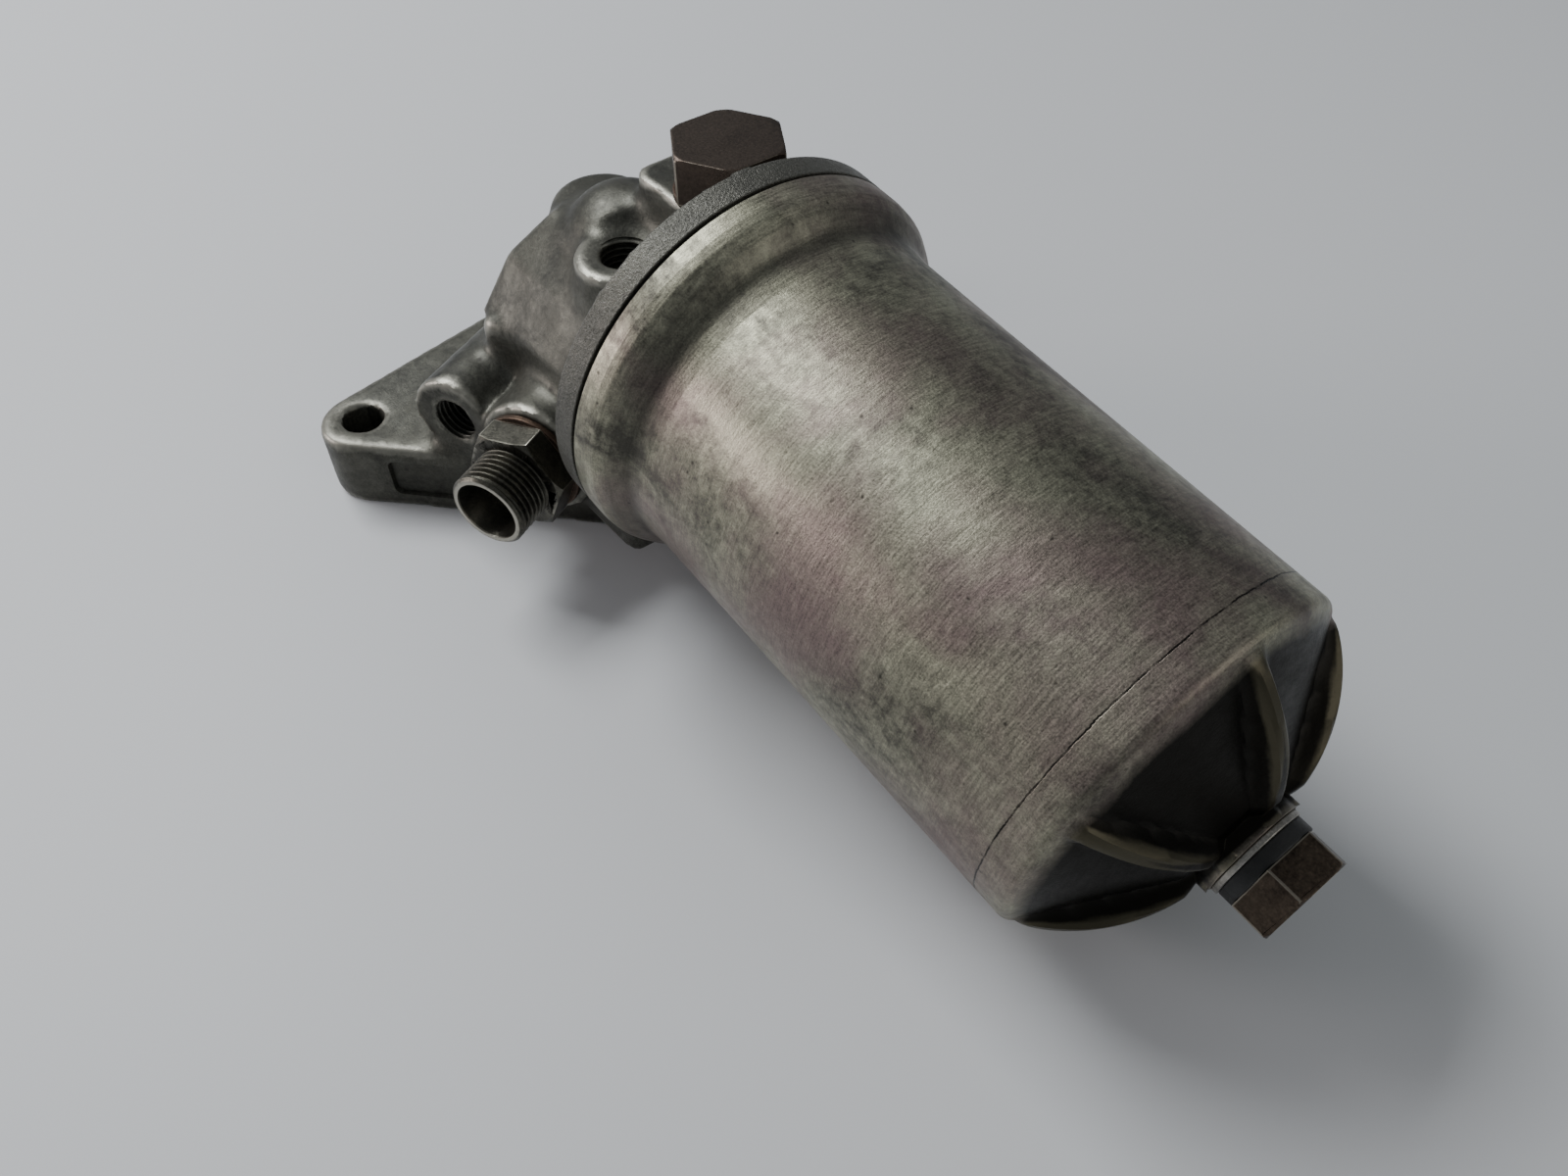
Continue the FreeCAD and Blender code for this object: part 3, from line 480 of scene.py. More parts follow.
def metal(name, look, place=upright):
    # worn, stained or machined metal, from a dictionary of colours and sizes
    made = bpy.data.materials.new(name)
    made.use_nodes = True
    tree = made.node_tree
    shader = tree.nodes["Principled BSDF"]

    def node(kind, inputs=(), **settings):
        fresh = tree.nodes.new(kind)
        for key, value in settings.items():
            setattr(fresh, key, value)
        for key, value in dict(inputs).items():
            if isinstance(value, bpy.types.NodeSocket):
                tree.links.new(value, fresh.inputs[key])
            else:
                fresh.inputs[key].default_value = value
        return fresh

    def calc(operation, first, second=0.0, third=0.0):
        return node("ShaderNodeMath", {0: first, 1: second, 2: third}, operation=operation).outputs[0]

    def fit(value, low, high, start=0.0, end=1.0):
        return node("ShaderNodeMapRange", {0: value, 1: low, 2: high, 3: start, 4: end}).outputs[0]

    def cloud(size, detail=4.0, stretch=(1, 1, 1), twist=0.0, rough=0.55):
        grain = node("ShaderNodeMapping", {"Vector": aligned, "Scale": tuple(s / size for s in stretch)})
        return node("ShaderNodeTexNoise", {"Vector": grain.outputs[0], "Scale": 1.0, "Detail": detail,
                                           "Roughness": rough, "Distortion": twist}).outputs[0]

    def tint(share, first, second):
        return node("ShaderNodeMix", {0: share, 6: first, 7: second}, data_type="RGBA").outputs[2]

    def colour(values):
        return tuple(values) + (1.0,)

    objectSpace = node("ShaderNodeTexCoord").outputs["Object"]
    away = place.inverted()
    turned = node("ShaderNodeMapping", {"Vector": objectSpace, "Location": tuple(away.translation / mm),
                                        "Rotation": tuple(away.to_euler()), "Scale": (1 / mm,) * 3})
    aligned = turned.outputs[0]  # millimetres in the piece's own frame

    blotch = cloud(look["blotchSize"], 6, look.get("blotchShape", (1, 1, 1)), 0.6, 0.62)
    patch = cloud(look.get("patchSize", 34), 3, twist=0.4)
    speck = cloud(look.get("grainSize", 0.45), 2)
    mottle = cloud(look["mottleSize"], 5, twist=0.3, rough=0.7)
    brushed = cloud(look.get("brushSize", 0.5), 3, look.get("brushShape", (1, 1, 1)), 0.0, 0.6)

    share = calc("ADD", calc("MULTIPLY", blotch, 0.62), calc("MULTIPLY", mottle, 0.38))
    low, high = look.get("spread", (0.38, 0.62))
    base = tint(fit(share, low, high), colour(look["dark"]), colour(look["light"]))
    base = tint(calc("MULTIPLY", fit(patch, 0.42, 0.64), look.get("hueShare", 0.5)), base,
                colour(look.get("hue", look["light"])))
    fine = calc("ADD", calc("MULTIPLY", speck, 0.5), calc("MULTIPLY", brushed, 0.5))
    contrast = look.get("grainContrast", 0.35)
    lift = fit(fine, 0.25, 0.75, 1 - contrast, 1 + contrast)
    base = node("ShaderNodeMix", {0: 1.0, 6: base, 7: node("ShaderNodeCombineColor", {
        0: lift, 1: lift, 2: lift}).outputs[0]}, data_type="RGBA", blend_type="MULTIPLY").outputs[2]
    rough = fit(share, low, high, look["roughDark"], look["roughLight"])
    rough = calc("ADD", rough, fit(fine, 0.3, 0.7, -0.08, 0.08))

    if look.get("pits"):  # small dark pits
        spots = node("ShaderNodeTexVoronoi", {"Vector": aligned, "Scale": 1 / look["pits"]}, feature="F1")
        near = fit(spots.outputs[0], 0.05, 0.2, 1.0, 0.0)
        rare = calc("GREATER_THAN", node("ShaderNodeSeparateColor", {0: spots.outputs[1]}).outputs[0],
                    look["pitRarity"])
        pit = calc("MULTIPLY", near, rare)
        base = tint(calc("MULTIPLY", pit, 0.75), base, colour((0.02, 0.018, 0.016)))
    if look.get("line"):  # a scribed line round the piece
        station, width = look["line"]
        height = node("ShaderNodeSeparateXYZ", {0: aligned}).outputs[2]
        wander = calc("MULTIPLY", calc("SUBTRACT", cloud(4, 5, twist=0.6, rough=0.8), 0.5), 0.9)
        gap = calc("ABSOLUTE", calc("SUBTRACT", calc("ADD", height, wander), station))
        ink = fit(gap, width * 0.4, width, 1.0, 0.0)
        ink = calc("MULTIPLY", ink, fit(cloud(3.2, 3), 0.30, 0.52, 0.25, 1.0))
        base = tint(ink, base, colour((0.012, 0.011, 0.010)))
    if look.get("colourAndShadeBands"):  # colour and painted shade by height on the piece: (from, to, colour, share)
        height = node("ShaderNodeSeparateXYZ", {0: aligned}).outputs[2]
        unsteady = calc("ADD", height, calc("MULTIPLY", calc("SUBTRACT", blotch, 0.5), 3.0))
        for start, end, paint, strength in look["colourAndShadeBands"]:
            begun = fit(unsteady, start - 0.8, start + 0.8)
            ended = fit(unsteady, end - 0.8, end + 0.8, 1.0, 0.0)
            base = tint(calc("MULTIPLY", calc("MULTIPLY", begun, ended), strength), base, colour(paint))
    if look.get("wear"):  # bright where edges rub, painted shade in the hollows
        edge = node("ShaderNodeAttribute", attribute_name="edgeWear").outputs["Fac"]
        uneven = calc("ADD", edge, calc("MULTIPLY", calc("SUBTRACT", mottle, 0.5), 0.25))
        rubbed = calc("MULTIPLY", fit(uneven, 0.22, 0.55), look["wear"])
        base = tint(rubbed, base, colour(look["bright"]))
        rough = node("ShaderNodeMix", {0: rubbed, 2: rough, 3: 0.33}).outputs[0]
        # painted shade: the hollows and the head's recess floor are darkened towards near black
        paintedShade = node("ShaderNodeAttribute", attribute_name="paintedHollowShade").outputs["Fac"]
        base = tint(calc("MULTIPLY", fit(paintedShade, 0.10, 0.8), 0.62), base, colour((0.018, 0.017, 0.015)))

    relief = calc("MULTIPLY", speck, look.get("grainRelief", 0.03))
    relief = calc("ADD", relief, calc("MULTIPLY", brushed, look.get("brushRelief", 0.02)))
    relief = calc("ADD", relief, calc("MULTIPLY", mottle, look.get("mottleRelief", 0.05)))
    if look.get("pits"):
        relief = calc("SUBTRACT", relief, calc("MULTIPLY", pit, look["pitDepth"]))
    if look.get("line"):
        relief = calc("SUBTRACT", relief, calc("MULTIPLY", ink, 0.05))
    if look.get("sand"):  # the coarse skin that a sand mould leaves
        skin = node("ShaderNodeAttribute", attribute_name="sandCast").outputs["Fac"]
        grit = cloud(0.55, 2, rough=0.8)
        base = tint(calc("MULTIPLY", skin, fit(grit, 0.35, 0.75)), base, colour(look["sandColour"]))
        relief = calc("ADD", relief, calc("MULTIPLY", calc("MULTIPLY", grit, skin), look["sand"]))
    bump = node("ShaderNodeBump", {"Height": relief, "Distance": mm, "Strength": 0.8})

    tree.links.new(base, shader.inputs["Base Color"])
    tree.links.new(rough, shader.inputs["Roughness"])
    tree.links.new(bump.outputs[0], shader.inputs["Normal"])
    shader.inputs["Metallic"].default_value = look.get("metallic", 0.9)
    shader.inputs["Specular IOR Level"].default_value = look.get("specular", 0.5)
    return made


finishes = {
    "bowl": {
        "dark": (0.090, 0.086, 0.070), "light": (0.330, 0.322, 0.240), "hue": (0.205, 0.150, 0.142),
        "hueShare": 0.7, "blotchSize": 17, "blotchShape": (1, 1, 0.6), "patchSize": 30,
        "spread": (0.40, 0.60), "grainSize": 0.36, "grainContrast": 0.60, "brushSize": 0.42, "brushShape": (0.10, 0.10, 1),
        "mottleSize": 2.1, "roughDark": 0.48, "roughLight": 0.37, "metallic": 0.94, "pits": 2.3,
        "pitRarity": 0.90, "pitDepth": 0.02, "grainRelief": 0.032, "brushRelief": 0.024, "mottleRelief": 0.03,
        "line": (109.3, 0.24), "wear": 0.42, "bright": (0.15, 0.135, 0.09),
        # the neck band (8.5 to 15.5) is painted shade in the concave neck; the cone band is the cone's own
        # dark oily colour
        "colourAndShadeBands": [(8.5, 15.5, (0.048, 0.045, 0.040), 0.45), (117.6, 134.0, (0.0095, 0.0085, 0.0065), 1.0)]},
    "head": {
        "dark": (0.032, 0.032, 0.027), "light": (0.100, 0.099, 0.082), "hue": (0.062, 0.060, 0.047),
        "blotchSize": 13, "patchSize": 26, "grainSize": 0.45, "grainContrast": 0.40, "mottleSize": 1.6,
        "mottleRelief": 0.09, "grainRelief": 0.035, "roughDark": 0.50, "roughLight": 0.40, "metallic": 0.75,
        "wear": 0.65, "bright": (0.34, 0.33, 0.28), "pits": 4.0, "pitRarity": 0.90, "pitDepth": 0.04,
        "sand": 0.30, "sandColour": (0.125, 0.122, 0.108)},
    "plug": {
        "dark": (0.022, 0.016, 0.012), "light": (0.070, 0.052, 0.040), "blotchSize": 9, "mottleSize": 1.2,
        "metallic": 0.8, "wear": 0.8, "bright": (0.30, 0.27, 0.22), "roughDark": 0.46, "roughLight": 0.36,
        "mottleRelief": 0.02},
    "bolt": {
        "dark": (0.020, 0.014, 0.010), "light": (0.085, 0.064, 0.046), "blotchSize": 6, "mottleSize": 0.9,
        "metallic": 0.85, "wear": 0.7, "bright": (0.30, 0.27, 0.22), "roughDark": 0.45, "roughLight": 0.33},
    "union": {
        "dark": (0.026, 0.025, 0.020), "light": (0.110, 0.105, 0.085), "blotchSize": 7, "mottleSize": 1.0,
        "wear": 0.9, "bright": (0.42, 0.40, 0.34), "roughDark": 0.42, "roughLight": 0.30},
    "washer": {
        "dark": (0.18, 0.17, 0.15), "light": (0.42, 0.40, 0.36), "blotchSize": 5, "mottleSize": 0.8,
        "roughDark": 0.42, "roughLight": 0.30},
    "rubber": {
        "dark": (0.006, 0.006, 0.006), "light": (0.018, 0.018, 0.017), "metallic": 0.0, "roughDark": 0.62,
        "roughLight": 0.5, "blotchSize": 6, "mottleSize": 0.8, "grainSize": 0.2, "grainRelief": 0.01},
    "copper": {
        "dark": (0.022, 0.017, 0.014), "light": (0.10, 0.065, 0.045), "blotchSize": 5, "mottleSize": 0.9,
        "roughDark": 0.50, "roughLight": 0.36},
    "zinc": {
        "dark": (0.30, 0.29, 0.25), "light": (0.58, 0.56, 0.49), "blotchSize": 11, "mottleSize": 1.6,
        "roughDark": 0.40, "roughLight": 0.28},
    "spring": {
        "dark": (0.12, 0.115, 0.11), "light": (0.34, 0.33, 0.31), "blotchSize": 5, "mottleSize": 0.8,
        "roughDark": 0.40, "roughLight": 0.28},
    "brass": {
        "dark": (0.30, 0.20, 0.08), "light": (0.62, 0.45, 0.20), "blotchSize": 6, "mottleSize": 0.9,
        "roughDark": 0.36, "roughLight": 0.25},
    "paper": {
        "dark": (0.36, 0.24, 0.11), "light": (0.62, 0.46, 0.26), "metallic": 0.0, "roughDark": 0.9,
        "roughLight": 0.8, "blotchSize": 14, "mottleSize": 1.4, "grainSize": 0.25, "specular": 0.2},
    "card": {
        "dark": (0.16, 0.20, 0.14), "light": (0.30, 0.34, 0.25), "metallic": 0.0, "roughDark": 0.85,
        "roughLight": 0.7, "blotchSize": 16, "mottleSize": 1.8, "grainSize": 0.3, "specular": 0.25}}

print("materials")
bowlMetal = metal("bowlMetal", finishes["bowl"], canister)
headMetal = metal("headMetal", finishes["head"])
plugSteel = metal("plugSteel", finishes["plug"])
boltSteel = metal("boltSteel", finishes["bolt"], canister)
unionSteel = metal("unionSteel", finishes["union"], unionPlace)
washerSteel = metal("washerSteel", finishes["washer"], canister)
blackRubber = metal("blackRubber", finishes["rubber"])
darkCopper = metal("darkCopper", finishes["copper"])
zincSteel = metal("zincSteel", finishes["zinc"], canister)
springSteel = metal("springSteel", finishes["spring"], canister)
brass = metal("brass", finishes["brass"])
paper = metal("paper", finishes["paper"], canister)
card = metal("card", finishes["card"], canister)


bowlSizes = {"steps": 260, "row": 1.1, "rib": {"Height": 4.6, "Half width": 2.2, "Inner": 8.5, "Outer": 36.6,
                                               "Slope": 60.8}}


def makeBowl():
    outline = rounded([
        (35.0, 0.4, 0.2), (43.4, 0.4, 0.35), (43.4, 4.2, 1.0), (43.1, 6.4, 1.8), (41.6, 9.0, 3.0),
        (38.6, 12.2, 5.0), (38.0, 17.5, 5.0), (38.0, 116.0, 2.4), (12.2, 130.4, 1.6), (9.8, 131.0, 0.3),
        (9.8, 134.4, 0.3),
        (5.2, 134.4, 0.3), (5.2, 122.0, 0.5), (15.0, 122.0, 2.0), (34.6, 112.5, 4.0), (34.6, 6.0, 0.3),
        (35.0, 6.0, 0.2)])
    shell = lathe("bowlCasting", denser(outline, bowlSizes["row"]), steps=bowlSizes["steps"])
    grow("bowlCasting", ribTree(), bowlSizes["rib"], bowlMetal, canister, base=shell)
    # rubbed edges, and painted shade in the hollows
    wearMaps(shell.data, curvature(shell.data, 5), 2.6, 3.0)
    return finishPiece(shell, "bowl", "bowl_cast", bowlMetal, "bowl")


print("bowl")
makeBowl()


headSizes = {
    "grain": 0.95, "filletRounds": 44, "hollow": 0.95, "edge": 0.10, "unevenness": 0.13,
    "swells": (0.007, 0.0022),
    "web": [(28, -6, 57), (30, 9, 64), (41, 13, 66), (46, 1, 69), (43, -13, 62), (58, 0, 70), (36, -16, 55),
            (50, 3, 70), (33, -3, 66), (38, -4, 69), (40, 4, 70), (28, -6, 44), (41, 13, 44), (58, 0, 44),
            (40, -16, 44)],
    "panel": {"length": 30.0, "height": 10.5, "middle": 24.0, "level": 9.2, "depth": 1.2, "corner": 1.8},
    "bores": [(portPlace, 6.0), (topPortPlace, 6.0), (unionPlace, 8.95), (raised(plugPlace, 81), 8.95)],
    "boreDepth": 13.0}


def canisterCoordinates(points):
    # row-frame points in metres to millimetres along and off the canister's axis
    back = np.array(canister.inverted())
    return (points @ back[:3, :3].T + back[:3, 3]) / mm


def makePanelTool():
    # the shallow recess in the flange's long front side
    size = headSizes["panel"]
    start = Vector((0, -flangeHoles)) + flangeEar * Vector((math.cos(flangeSide), math.sin(flangeSide)))
    along = Vector((-math.sin(flangeSide), math.cos(flangeSide)))
    middle = start + along * size["middle"]
    place = (Matrix.Translation((middle.x * mm, middle.y * mm, size["level"] * mm))
             @ Matrix.Rotation(flangeSide, 4, "Z") @ Matrix.Rotation(math.radians(90), 4, "Y"))
    half, tall, corner = size["length"] / 2, size["height"] / 2, size["corner"]
    rim = []
    for cx, cy, turn in ((tall - corner, half - corner, 0), (corner - tall, half - corner, 90),
                         (corner - tall, corner - half, 180), (tall - corner, corner - half, 270)):
        angles = [math.radians(degrees) for degrees in range(turn, turn + 91, 15)]
        rim += [(cx + corner * math.cos(angle), cy + corner * math.sin(angle)) for angle in angles]
    count = len(rim)
    points = [(x * 0.94, y * 0.98, -size["depth"]) for x, y in rim]
    points += [(x * 1.06, y * 1.03, 1.0) for x, y in rim]
    faces = [tuple(range(count))[::-1], tuple(range(count, 2 * count))]
    faces += [(i, (i + 1) % count, count + (i + 1) % count, count + i) for i in range(count)]
    return meshObject("tool", points, faces, place)


def roughCasting():
    # the casting before machining: a web round the top port, wide fillets in the hollows, an uneven skin
    cast = copyNode("filter_head", "headCasting")
    work = bmesh.new()
    work.from_mesh(cast.data)
    web = [work.verts.new(Vector(corner) * mm) for corner in headSizes["web"]]
    hull = bmesh.ops.convex_hull(work, input=web)
    bmesh.ops.delete(work, geom=list({*hull["geom_interior"], *hull["geom_unused"]}), context="VERTS")
    work.to_mesh(cast.data)
    work.free()
    even = cast.modifiers.new("Even", "REMESH")
    even.mode = "VOXEL"
    even.voxel_size = headSizes["grain"] * mm
    bake(cast)
    castFillets(cast.data, headSizes["filletRounds"], headSizes["hollow"], headSizes["edge"])
    points = vertexArray(cast.data)
    broad, fine = headSizes["swells"]
    swell = np.array([noise.noise(Vector(p) / broad) * 0.7 + noise.noise(Vector(p) / fine) * 0.3
                      for p in points])
    swell *= np.clip((points[:, 2] - 0.001) / 0.002, 0, 1)  # the mounting face stays flat
    swell *= headSizes["unevenness"] * mm
    writeVertices(cast.data, points + normalArray(cast.data) * swell[:, None])
    return cast


def machineHead(cast):
    # turned faces, the recess, mounting holes and threaded bores
    cut(cast, lathe("tool", rounded([(0, -5.0, 0), (30.0, -5.0, 0.4), (30.0, 8, 0), (0, 8, 0)]), canister))
    add(cast, lathe("disc", rounded([
        (30.0, -6.4, 0), (42.4, -6.9, 1.2), (43.4, -6.1, 0.8), (43.4, -0.4, 0.3), (34.3, -0.4, 0.1),
        (34.3, 3.0, 0.4), (30.0, 3.0, 0.4)]), canister, 160))
    cut(cast, makePanelTool())
    for side in (-1, 1):
        cut(cast, lathe("tool", rounded([
            (0, -2, 0), (5.6, -2, 0), (5.6, -0.1, 0), (4.95, 0.5, 0), (4.95, 18.0, 0), (5.5, 18.7, 0),
            (5.5, 22, 0), (0, 22, 0)]), Matrix.Translation((0, side * flangeHoles * mm, 0)), 64))
    screw, depth = threadTree(), headSizes["boreDepth"]
    for place, radius in headSizes["bores"]:
        cut(cast, grow("tool", screw, {"Radius": radius, "Length": depth + 1.2, "Chamfer": 0.0, "Around": 49,
                                       "Rows": 130}, place=raised(place, -depth)))
        cut(cast, lathe("tool", straight((0, -0.5), (radius - 0.5, -0.5), (radius + 0.3, 0.3),
                                         (radius + 0.3, 0.6), (0, 0.6)), place, 64))


def pocketShare(points):
    # 1 on the floor of the flange's recess, 0 elsewhere
    size = headSizes["panel"]
    cosine, sine = math.cos(flangeSide), math.sin(flangeSide)
    fromHole = points / mm - (0, -flangeHoles, 0)
    below, along = fromHole @ (cosine, sine, 0) - flangeEar, fromHole @ (-sine, cosine, 0)
    inside = (below < -0.45) & (below > -1.8) & (abs(fromHole[:, 2] - size["level"]) < size["height"] / 2)
    return inside & (abs(along - size["middle"]) < size["length"] / 2)


def makeHead():
    cast = roughCasting()
    wide = curvature(cast.data, 9)
    tree = kdtree.KDTree(len(wide))
    for index, point in enumerate(vertexArray(cast.data)):
        tree.insert(point, index)
    tree.balance()
    machineHead(cast)
    points = vertexArray(cast.data)
    bend = np.zeros(len(points))
    for index, point in enumerate(points):
        _, nearest, reach = tree.find(point)
        if reach < 0.8 * mm:
            bend[index] = wide[nearest]
    local = canisterCoordinates(points)
    sandy = (np.hypot(local[:, 0], local[:, 1]) > 41.2) & (local[:, 2] < 0) & (local[:, 2] > -7.4)
    bend[sandy] = 0
    # rubbed edges from the casting's curvature; painted shade in its hollows and on the recess floor under
    # the flange's lip
    wearMaps(cast.data, bend, 1.5, 1.1)
    writeAttribute(cast.data, "paintedHollowShade", np.clip(-bend * 1.1 + pocketShare(points) * 0.35, 0, 1))
    writeAttribute(cast.data, "sandCast", sandy.astype(float))
    return finishPiece(cast, "head", "cast_head", headMetal, "filter_head")


print("head")
makeHead()


plugSizes = {"flats": 22.0, "start": 82.5, "end": 92.5, "turn": 28, "crown": 0.535}
unionSizes = {"flats": 22.0, "start": 1.5, "end": 8.0, "turn": 38, "crown": 0.515}
boltSizes = {"flats": 17.0, "start": 138.5, "end": 145.5, "turn": 38, "crown": 0.53}


def makePlug():
    plug = hexHead("topPlug", plugSizes, plugPlace)
    add(plug, grow("tool", threadTree(), {
        "Radius": 7.95, "Depth": 0.85, "Length": 13.6, "Plain end": 2.2, "Chamfer": 0.9, "Around": 65,
        "Rows": 120}, place=raised(plugPlace, 69.5)))
    cut(plug, lathe("tool", rounded([(0, 60, 0), (4.7, 60, 0), (4.7, 80, 0.5), (0, 80, 0)]), plugPlace, 48))
    wearMaps(plug.data, curvature(plug.data, 3), 3, 3)
    return finishPiece(plug, "plug", "plug_steel", plugSteel, "top_plug")


def makeUnion():
    union = hexHead("outletUnion", unionSizes, unionPlace)
    screw = threadTree()
    add(union, grow("tool", screw, {
        "Radius": 9.0, "Depth": 0.92, "Length": 11.1, "Plain start": 1.0, "Plain end": 1.1, "Chamfer": 0.6,
        "Around": 97, "Rows": 150}, place=raised(unionPlace, 7.5)))
    add(union, grow("tool", screw, {
        "Radius": 7.95, "Depth": 0.85, "Length": 14.0, "Plain end": 2.6, "Chamfer": 0.9, "Around": 65,
        "Rows": 120}, place=raised(unionPlace, -12)))
    cut(union, lathe("tool", rounded([
        (0, -14, 0), (5.4, -14, 0), (4.5, -11.4, 0), (4.5, 9.6, 0.4), (7.3, 18.0, 0), (7.45, 18.7, 0),
        (7.45, 20, 0), (0, 20, 0)]), unionPlace, 96))
    wearMaps(union.data, curvature(union.data, 3), 3, 3)
    return finishPiece(union, "union", "union_steel", unionSteel, "outlet_union")


def makeBolt():
    bolt = hexHead("centreBolt", boltSizes, canister)
    add(bolt, lathe("tool", rounded([
        (0, -2.0, 0), (4.6, -2.0, 0.3), (4.6, 80.0, 0.1), (3.9, 80.1, 0), (3.9, 81.1, 0), (4.6, 81.2, 0.1),
        (4.6, 139.0, 0), (0, 139.0, 0)]), canister, 64))
    add(bolt, grow("tool", threadTree(), {
        "Radius": 4.95, "Depth": 0.8, "Length": 14.0, "Plain end": 0.6, "Chamfer": 0.9, "Around": 49,
        "Rows": 140}, place=raised(canister, -15)))
    wearMaps(bolt.data, curvature(bolt.data, 3), 3, 3)
    return finishPiece(bolt, "bolt", "bolt_steel", boltSteel, "centre_bolt")


print("plug, union and bolt")
makePlug()
makeUnion()
makeBolt()


springSizes = {
    "element": {"Radius": 11.6, "Wire": 1.1, "Turns": 4.0, "Height": 18.2, "Steps": 40},
    "valve": {"Radius": 3.5, "Wire": 0.45, "Turns": 6.0, "Height": 9.1, "Steps": 32}}
innerSizes = {"pleats": 60, "nippleThread": 9.0}


def makeSprings():
    size = springSizes["element"]
    spring = grow("elementSpring", springTree(), size, springSteel, raised(canister, 101.65 + size["Wire"]))
    finishPiece(spring, "bowl", "spring_steel", springSteel, "element_spring")
    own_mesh(spring)
    size = springSizes["valve"]
    spring = grow("valveSpring", springTree(), size, springSteel, raised(plugPlace, 70.0 + size["Wire"]))
    finishPiece(spring, "head", "spring_steel", springSteel, "valve_spring")
    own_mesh(spring)


def makeElement():
    pleats = innerSizes["pleats"]
    media = grow("pleatedPaper", pleatTree(), {"Height": 90.8, "Pleats": pleats, "Around": pleats * 10 + 1},
                 paper, raised(canister, 5.2))
    finishPiece(media, "element", "filter_paper", paper, "element_media")
    cap = lathe("upperEndCap", rounded([
        (9.4, 4.0, 0.3), (12.6, 4.0, 0.3), (13.4, 4.4, 0.4), (18.0, 4.4, 0.4), (18.8, 4.0, 0.4),
        (31.5, 4.0, 0.9), (31.5, 8.0, 0.15), (31.0, 8.0, 0.1), (31.0, 5.2, 0.5), (9.4, 5.2, 0.3)]),
        canister, 128)
    finishPiece(cap, "element", "cap_steel", zincSteel, "upper_end_cap")
    cap = lathe("lowerEndCap", rounded([
        (8.9, 97.2, 0.3), (31.5, 97.2, 0.9), (31.5, 92.0, 0.15), (31.0, 92.0, 0.1), (31.0, 96.0, 0.5),
        (8.9, 96.0, 0.3)]), canister, 128)
    finishPiece(cap, "element", "cap_steel", zincSteel, "lower_end_cap")
    seat = lathe("springSeat", rounded([
        (5.3, 100.2, 0.3), (14.5, 100.2, 0.9), (14.5, 104.0, 0.3), (13.3, 104.0, 0.3), (13.3, 101.6, 0.6),
        (5.3, 101.6, 0.3)]), canister)
    finishPiece(seat, "element", "seat_steel", zincSteel, "spring_seat")


def makeNipple():
    nipple = lathe("spigotNipple", rounded([
        (0, -6.0, 0), (12.0, -5.0, 0.5), (12.0, -1.4, 0.5), (8.4, -1.4, 0.6), (8.4, 9.0, 0.9), (0, 9.0, 0)]),
        canister, 96)
    add(nipple, grow("tool", threadTree(), {
        "Radius": innerSizes["nippleThread"], "Depth": 0.85, "Length": 13.2, "Plain end": 1.4, "Chamfer": 0.9,
        "Around": 73, "Rows": 130}, place=raised(canister, -18)))
    cut(nipple, lathe("tool", rounded([
        (0, -19, 0), (5.0, -19, 0), (5.0, -10, 0), (6.2, -10, 0), (6.2, 8.4, 0), (6.8, 9.5, 0), (0, 9.5, 0)]),
        canister, 64))
    for turn in (0, 90):
        across = raised(canister, -7.5) @ Matrix.Rotation(math.radians(turn), 4, "Z")
        across = across @ Matrix.Rotation(math.radians(90), 4, "Y")
        cut(nipple, lathe("tool", straight((0, -13), (1.5, -13), (1.5, 13), (0, 13)), across, 32))
    return finishPiece(nipple, "head", "nipple_steel", zincSteel, "spigot_nipple")


rings = [
    ("rimSeal", "rim_seal", "bowl", "seal_rubber", blackRubber, canister,
     (36.0, 42.7, -0.4, 0.4)),
    ("boltWasher", "bolt_washer", "bolt_collar", "washer_steel", washerSteel, canister,
     (5.2, 9.4, 134.4, 135.6)),
    ("boltSeal", "bolt_seal", "bolt_collar", "seal_rubber", blackRubber, canister,
     (5.2, 9.0, 135.6, 138.5)),
    ("plugWasher", "plug_washer", "plug_collar", "copper_ring", darkCopper, plugPlace,
     (8.0, 11.6, 81.0, 82.5)),
    ("unionWasher", "union_washer", "union_collar", "copper_ring", darkCopper, unionPlace,
     (8.0, 12.4, 0, 1.5)),
    ("lowerGrommet", "lower_grommet", "element", "grommet_rubber", blackRubber, canister,
     (4.7, 11.5, 97.2, 100.2))]


def makeRings():
    # washers and seals with eased edges; each row ends with inner and outer radius, start and end
    for name, node, body, slot, look, place, (inner, outer, start, end) in rings:
        ease = min(0.35, (end - start) * 0.3)
        corners = [(inner, start, ease), (outer, start, ease), (outer, end, ease), (inner, end, ease)]
        finishPiece(lathe(name, rounded(corners), place, 128), body, slot, look, node)


def paint(name, look):
    thing = nodes[name]
    thing.data.materials.clear()
    thing.data.materials.append(look)


print("springs, element and rings")
makeSprings()
makeElement()
makeNipple()
makeRings()
for name, look in {"bolt_clip": springSteel, "upper_grommet": blackRubber, "element_sleeve": card,
                   "centre_tube": zincSteel, "valve_seat": zincSteel, "valve_piston": brass}.items():
    paint(name, look)


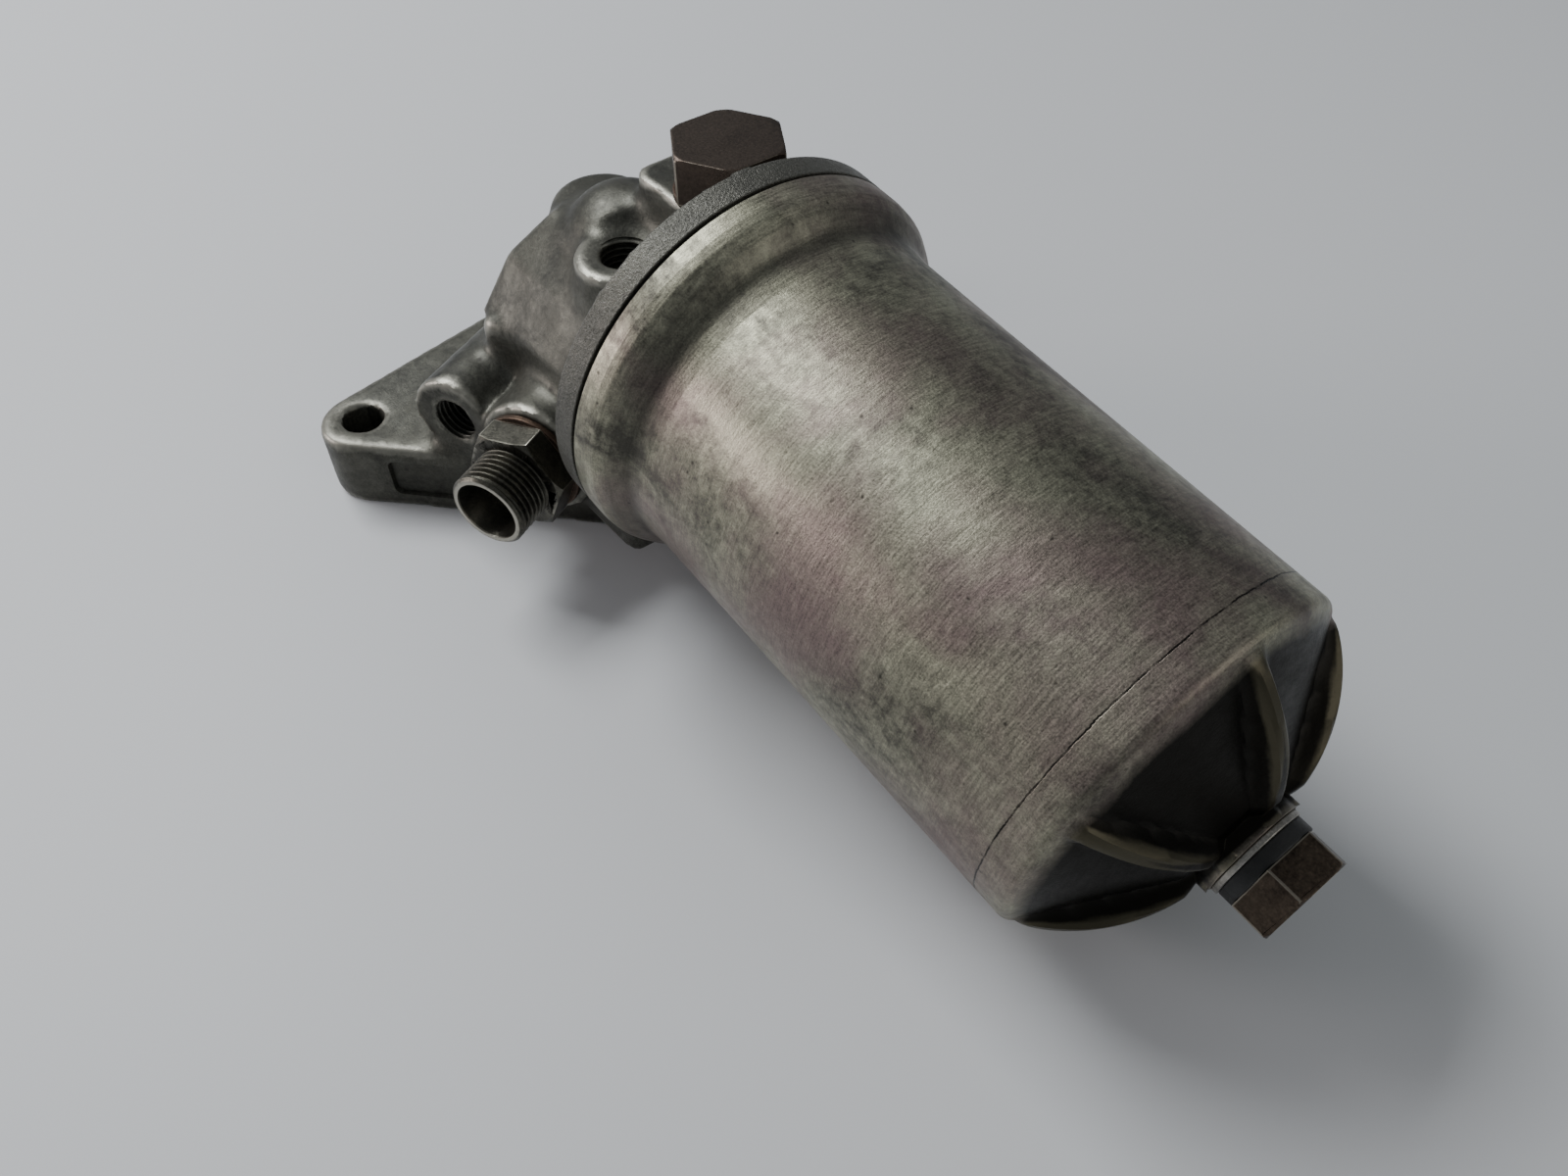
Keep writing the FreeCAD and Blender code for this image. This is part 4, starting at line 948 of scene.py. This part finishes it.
stageLook = {
    "floor": (0.56, 0.57, 0.58), "reach": 3000, "sky": (0.62, 0.66, 0.70), "skyStrength": 0.35,
    "lights": [("window", (-0.70, -0.22, 1.00), (0.7, 0.45), 16, (0.96, 0.98, 1.0)),
               ("sideWindow", (-0.85, -1.05, 0.42), (0.5, 0.4), 8, (1.0, 0.92, 0.93)),
               ("fill", (1.3, 0.5, 0.9), (1.2, 1.0), 4, (1.0, 0.98, 0.95))],
    "aim": (0.1, 0, 0.04), "lens": 29.0, "eye": (0.2500, -0.1241, 0.2178),
    "right": (0.62508, 0.78045, -0.01266), "up": (-0.57526, 0.47155, 0.66841),
    "back": (0.52763, -0.41052, 0.74369)}


def makeFloor():
    reach = stageLook["reach"]
    corners = [(-reach, -reach, 0), (reach, -reach, 0), (reach, reach, 0), (-reach, reach, 0)]
    floor = meshObject("floor", corners, [(0, 1, 2, 3)])
    pale = bpy.data.materials.new("paleFloor")
    pale.use_nodes = True
    shader = pale.node_tree.nodes["Principled BSDF"]
    shader.inputs["Base Color"].default_value = stageLook["floor"] + (1,)
    shader.inputs["Roughness"].default_value = 0.55
    floor.data.materials.append(pale)


def areaLight(name, position, size, watts, tint):
    lamp = bpy.data.lights.new(name, "AREA")
    lamp.shape = "RECTANGLE"
    lamp.size, lamp.size_y = size
    lamp.energy = watts
    lamp.color = tint
    thing = bpy.data.objects.new(name, lamp)
    thing.location = position
    thing.rotation_euler = (Vector(stageLook["aim"]) - Vector(position)).to_track_quat("-Z", "Y").to_euler()
    bpy.context.scene.collection.objects.link(thing)


def makeStage():
    makeFloor()
    world = bpy.data.worlds.new("studio")
    world.use_nodes = True
    backdrop = world.node_tree.nodes["Background"]
    backdrop.inputs[0].default_value = stageLook["sky"] + (1,)
    backdrop.inputs[1].default_value = stageLook["skyStrength"]
    bpy.context.scene.world = world
    for light in stageLook["lights"]:
        areaLight(*light)
    lens = bpy.data.cameras.new("camera")
    lens.lens = stageLook["lens"]
    lens.sensor_width = 36.0
    lens.clip_start = 0.01
    eye = bpy.data.objects.new("camera", lens)
    axes = Matrix([stageLook[name] for name in ("right", "up", "back")])
    eye.matrix_world = Matrix.Translation(stageLook["eye"]) @ axes.transposed().to_4x4()
    bpy.context.scene.collection.objects.link(eye)
    bpy.context.scene.camera = eye


print("stage")
makeStage()
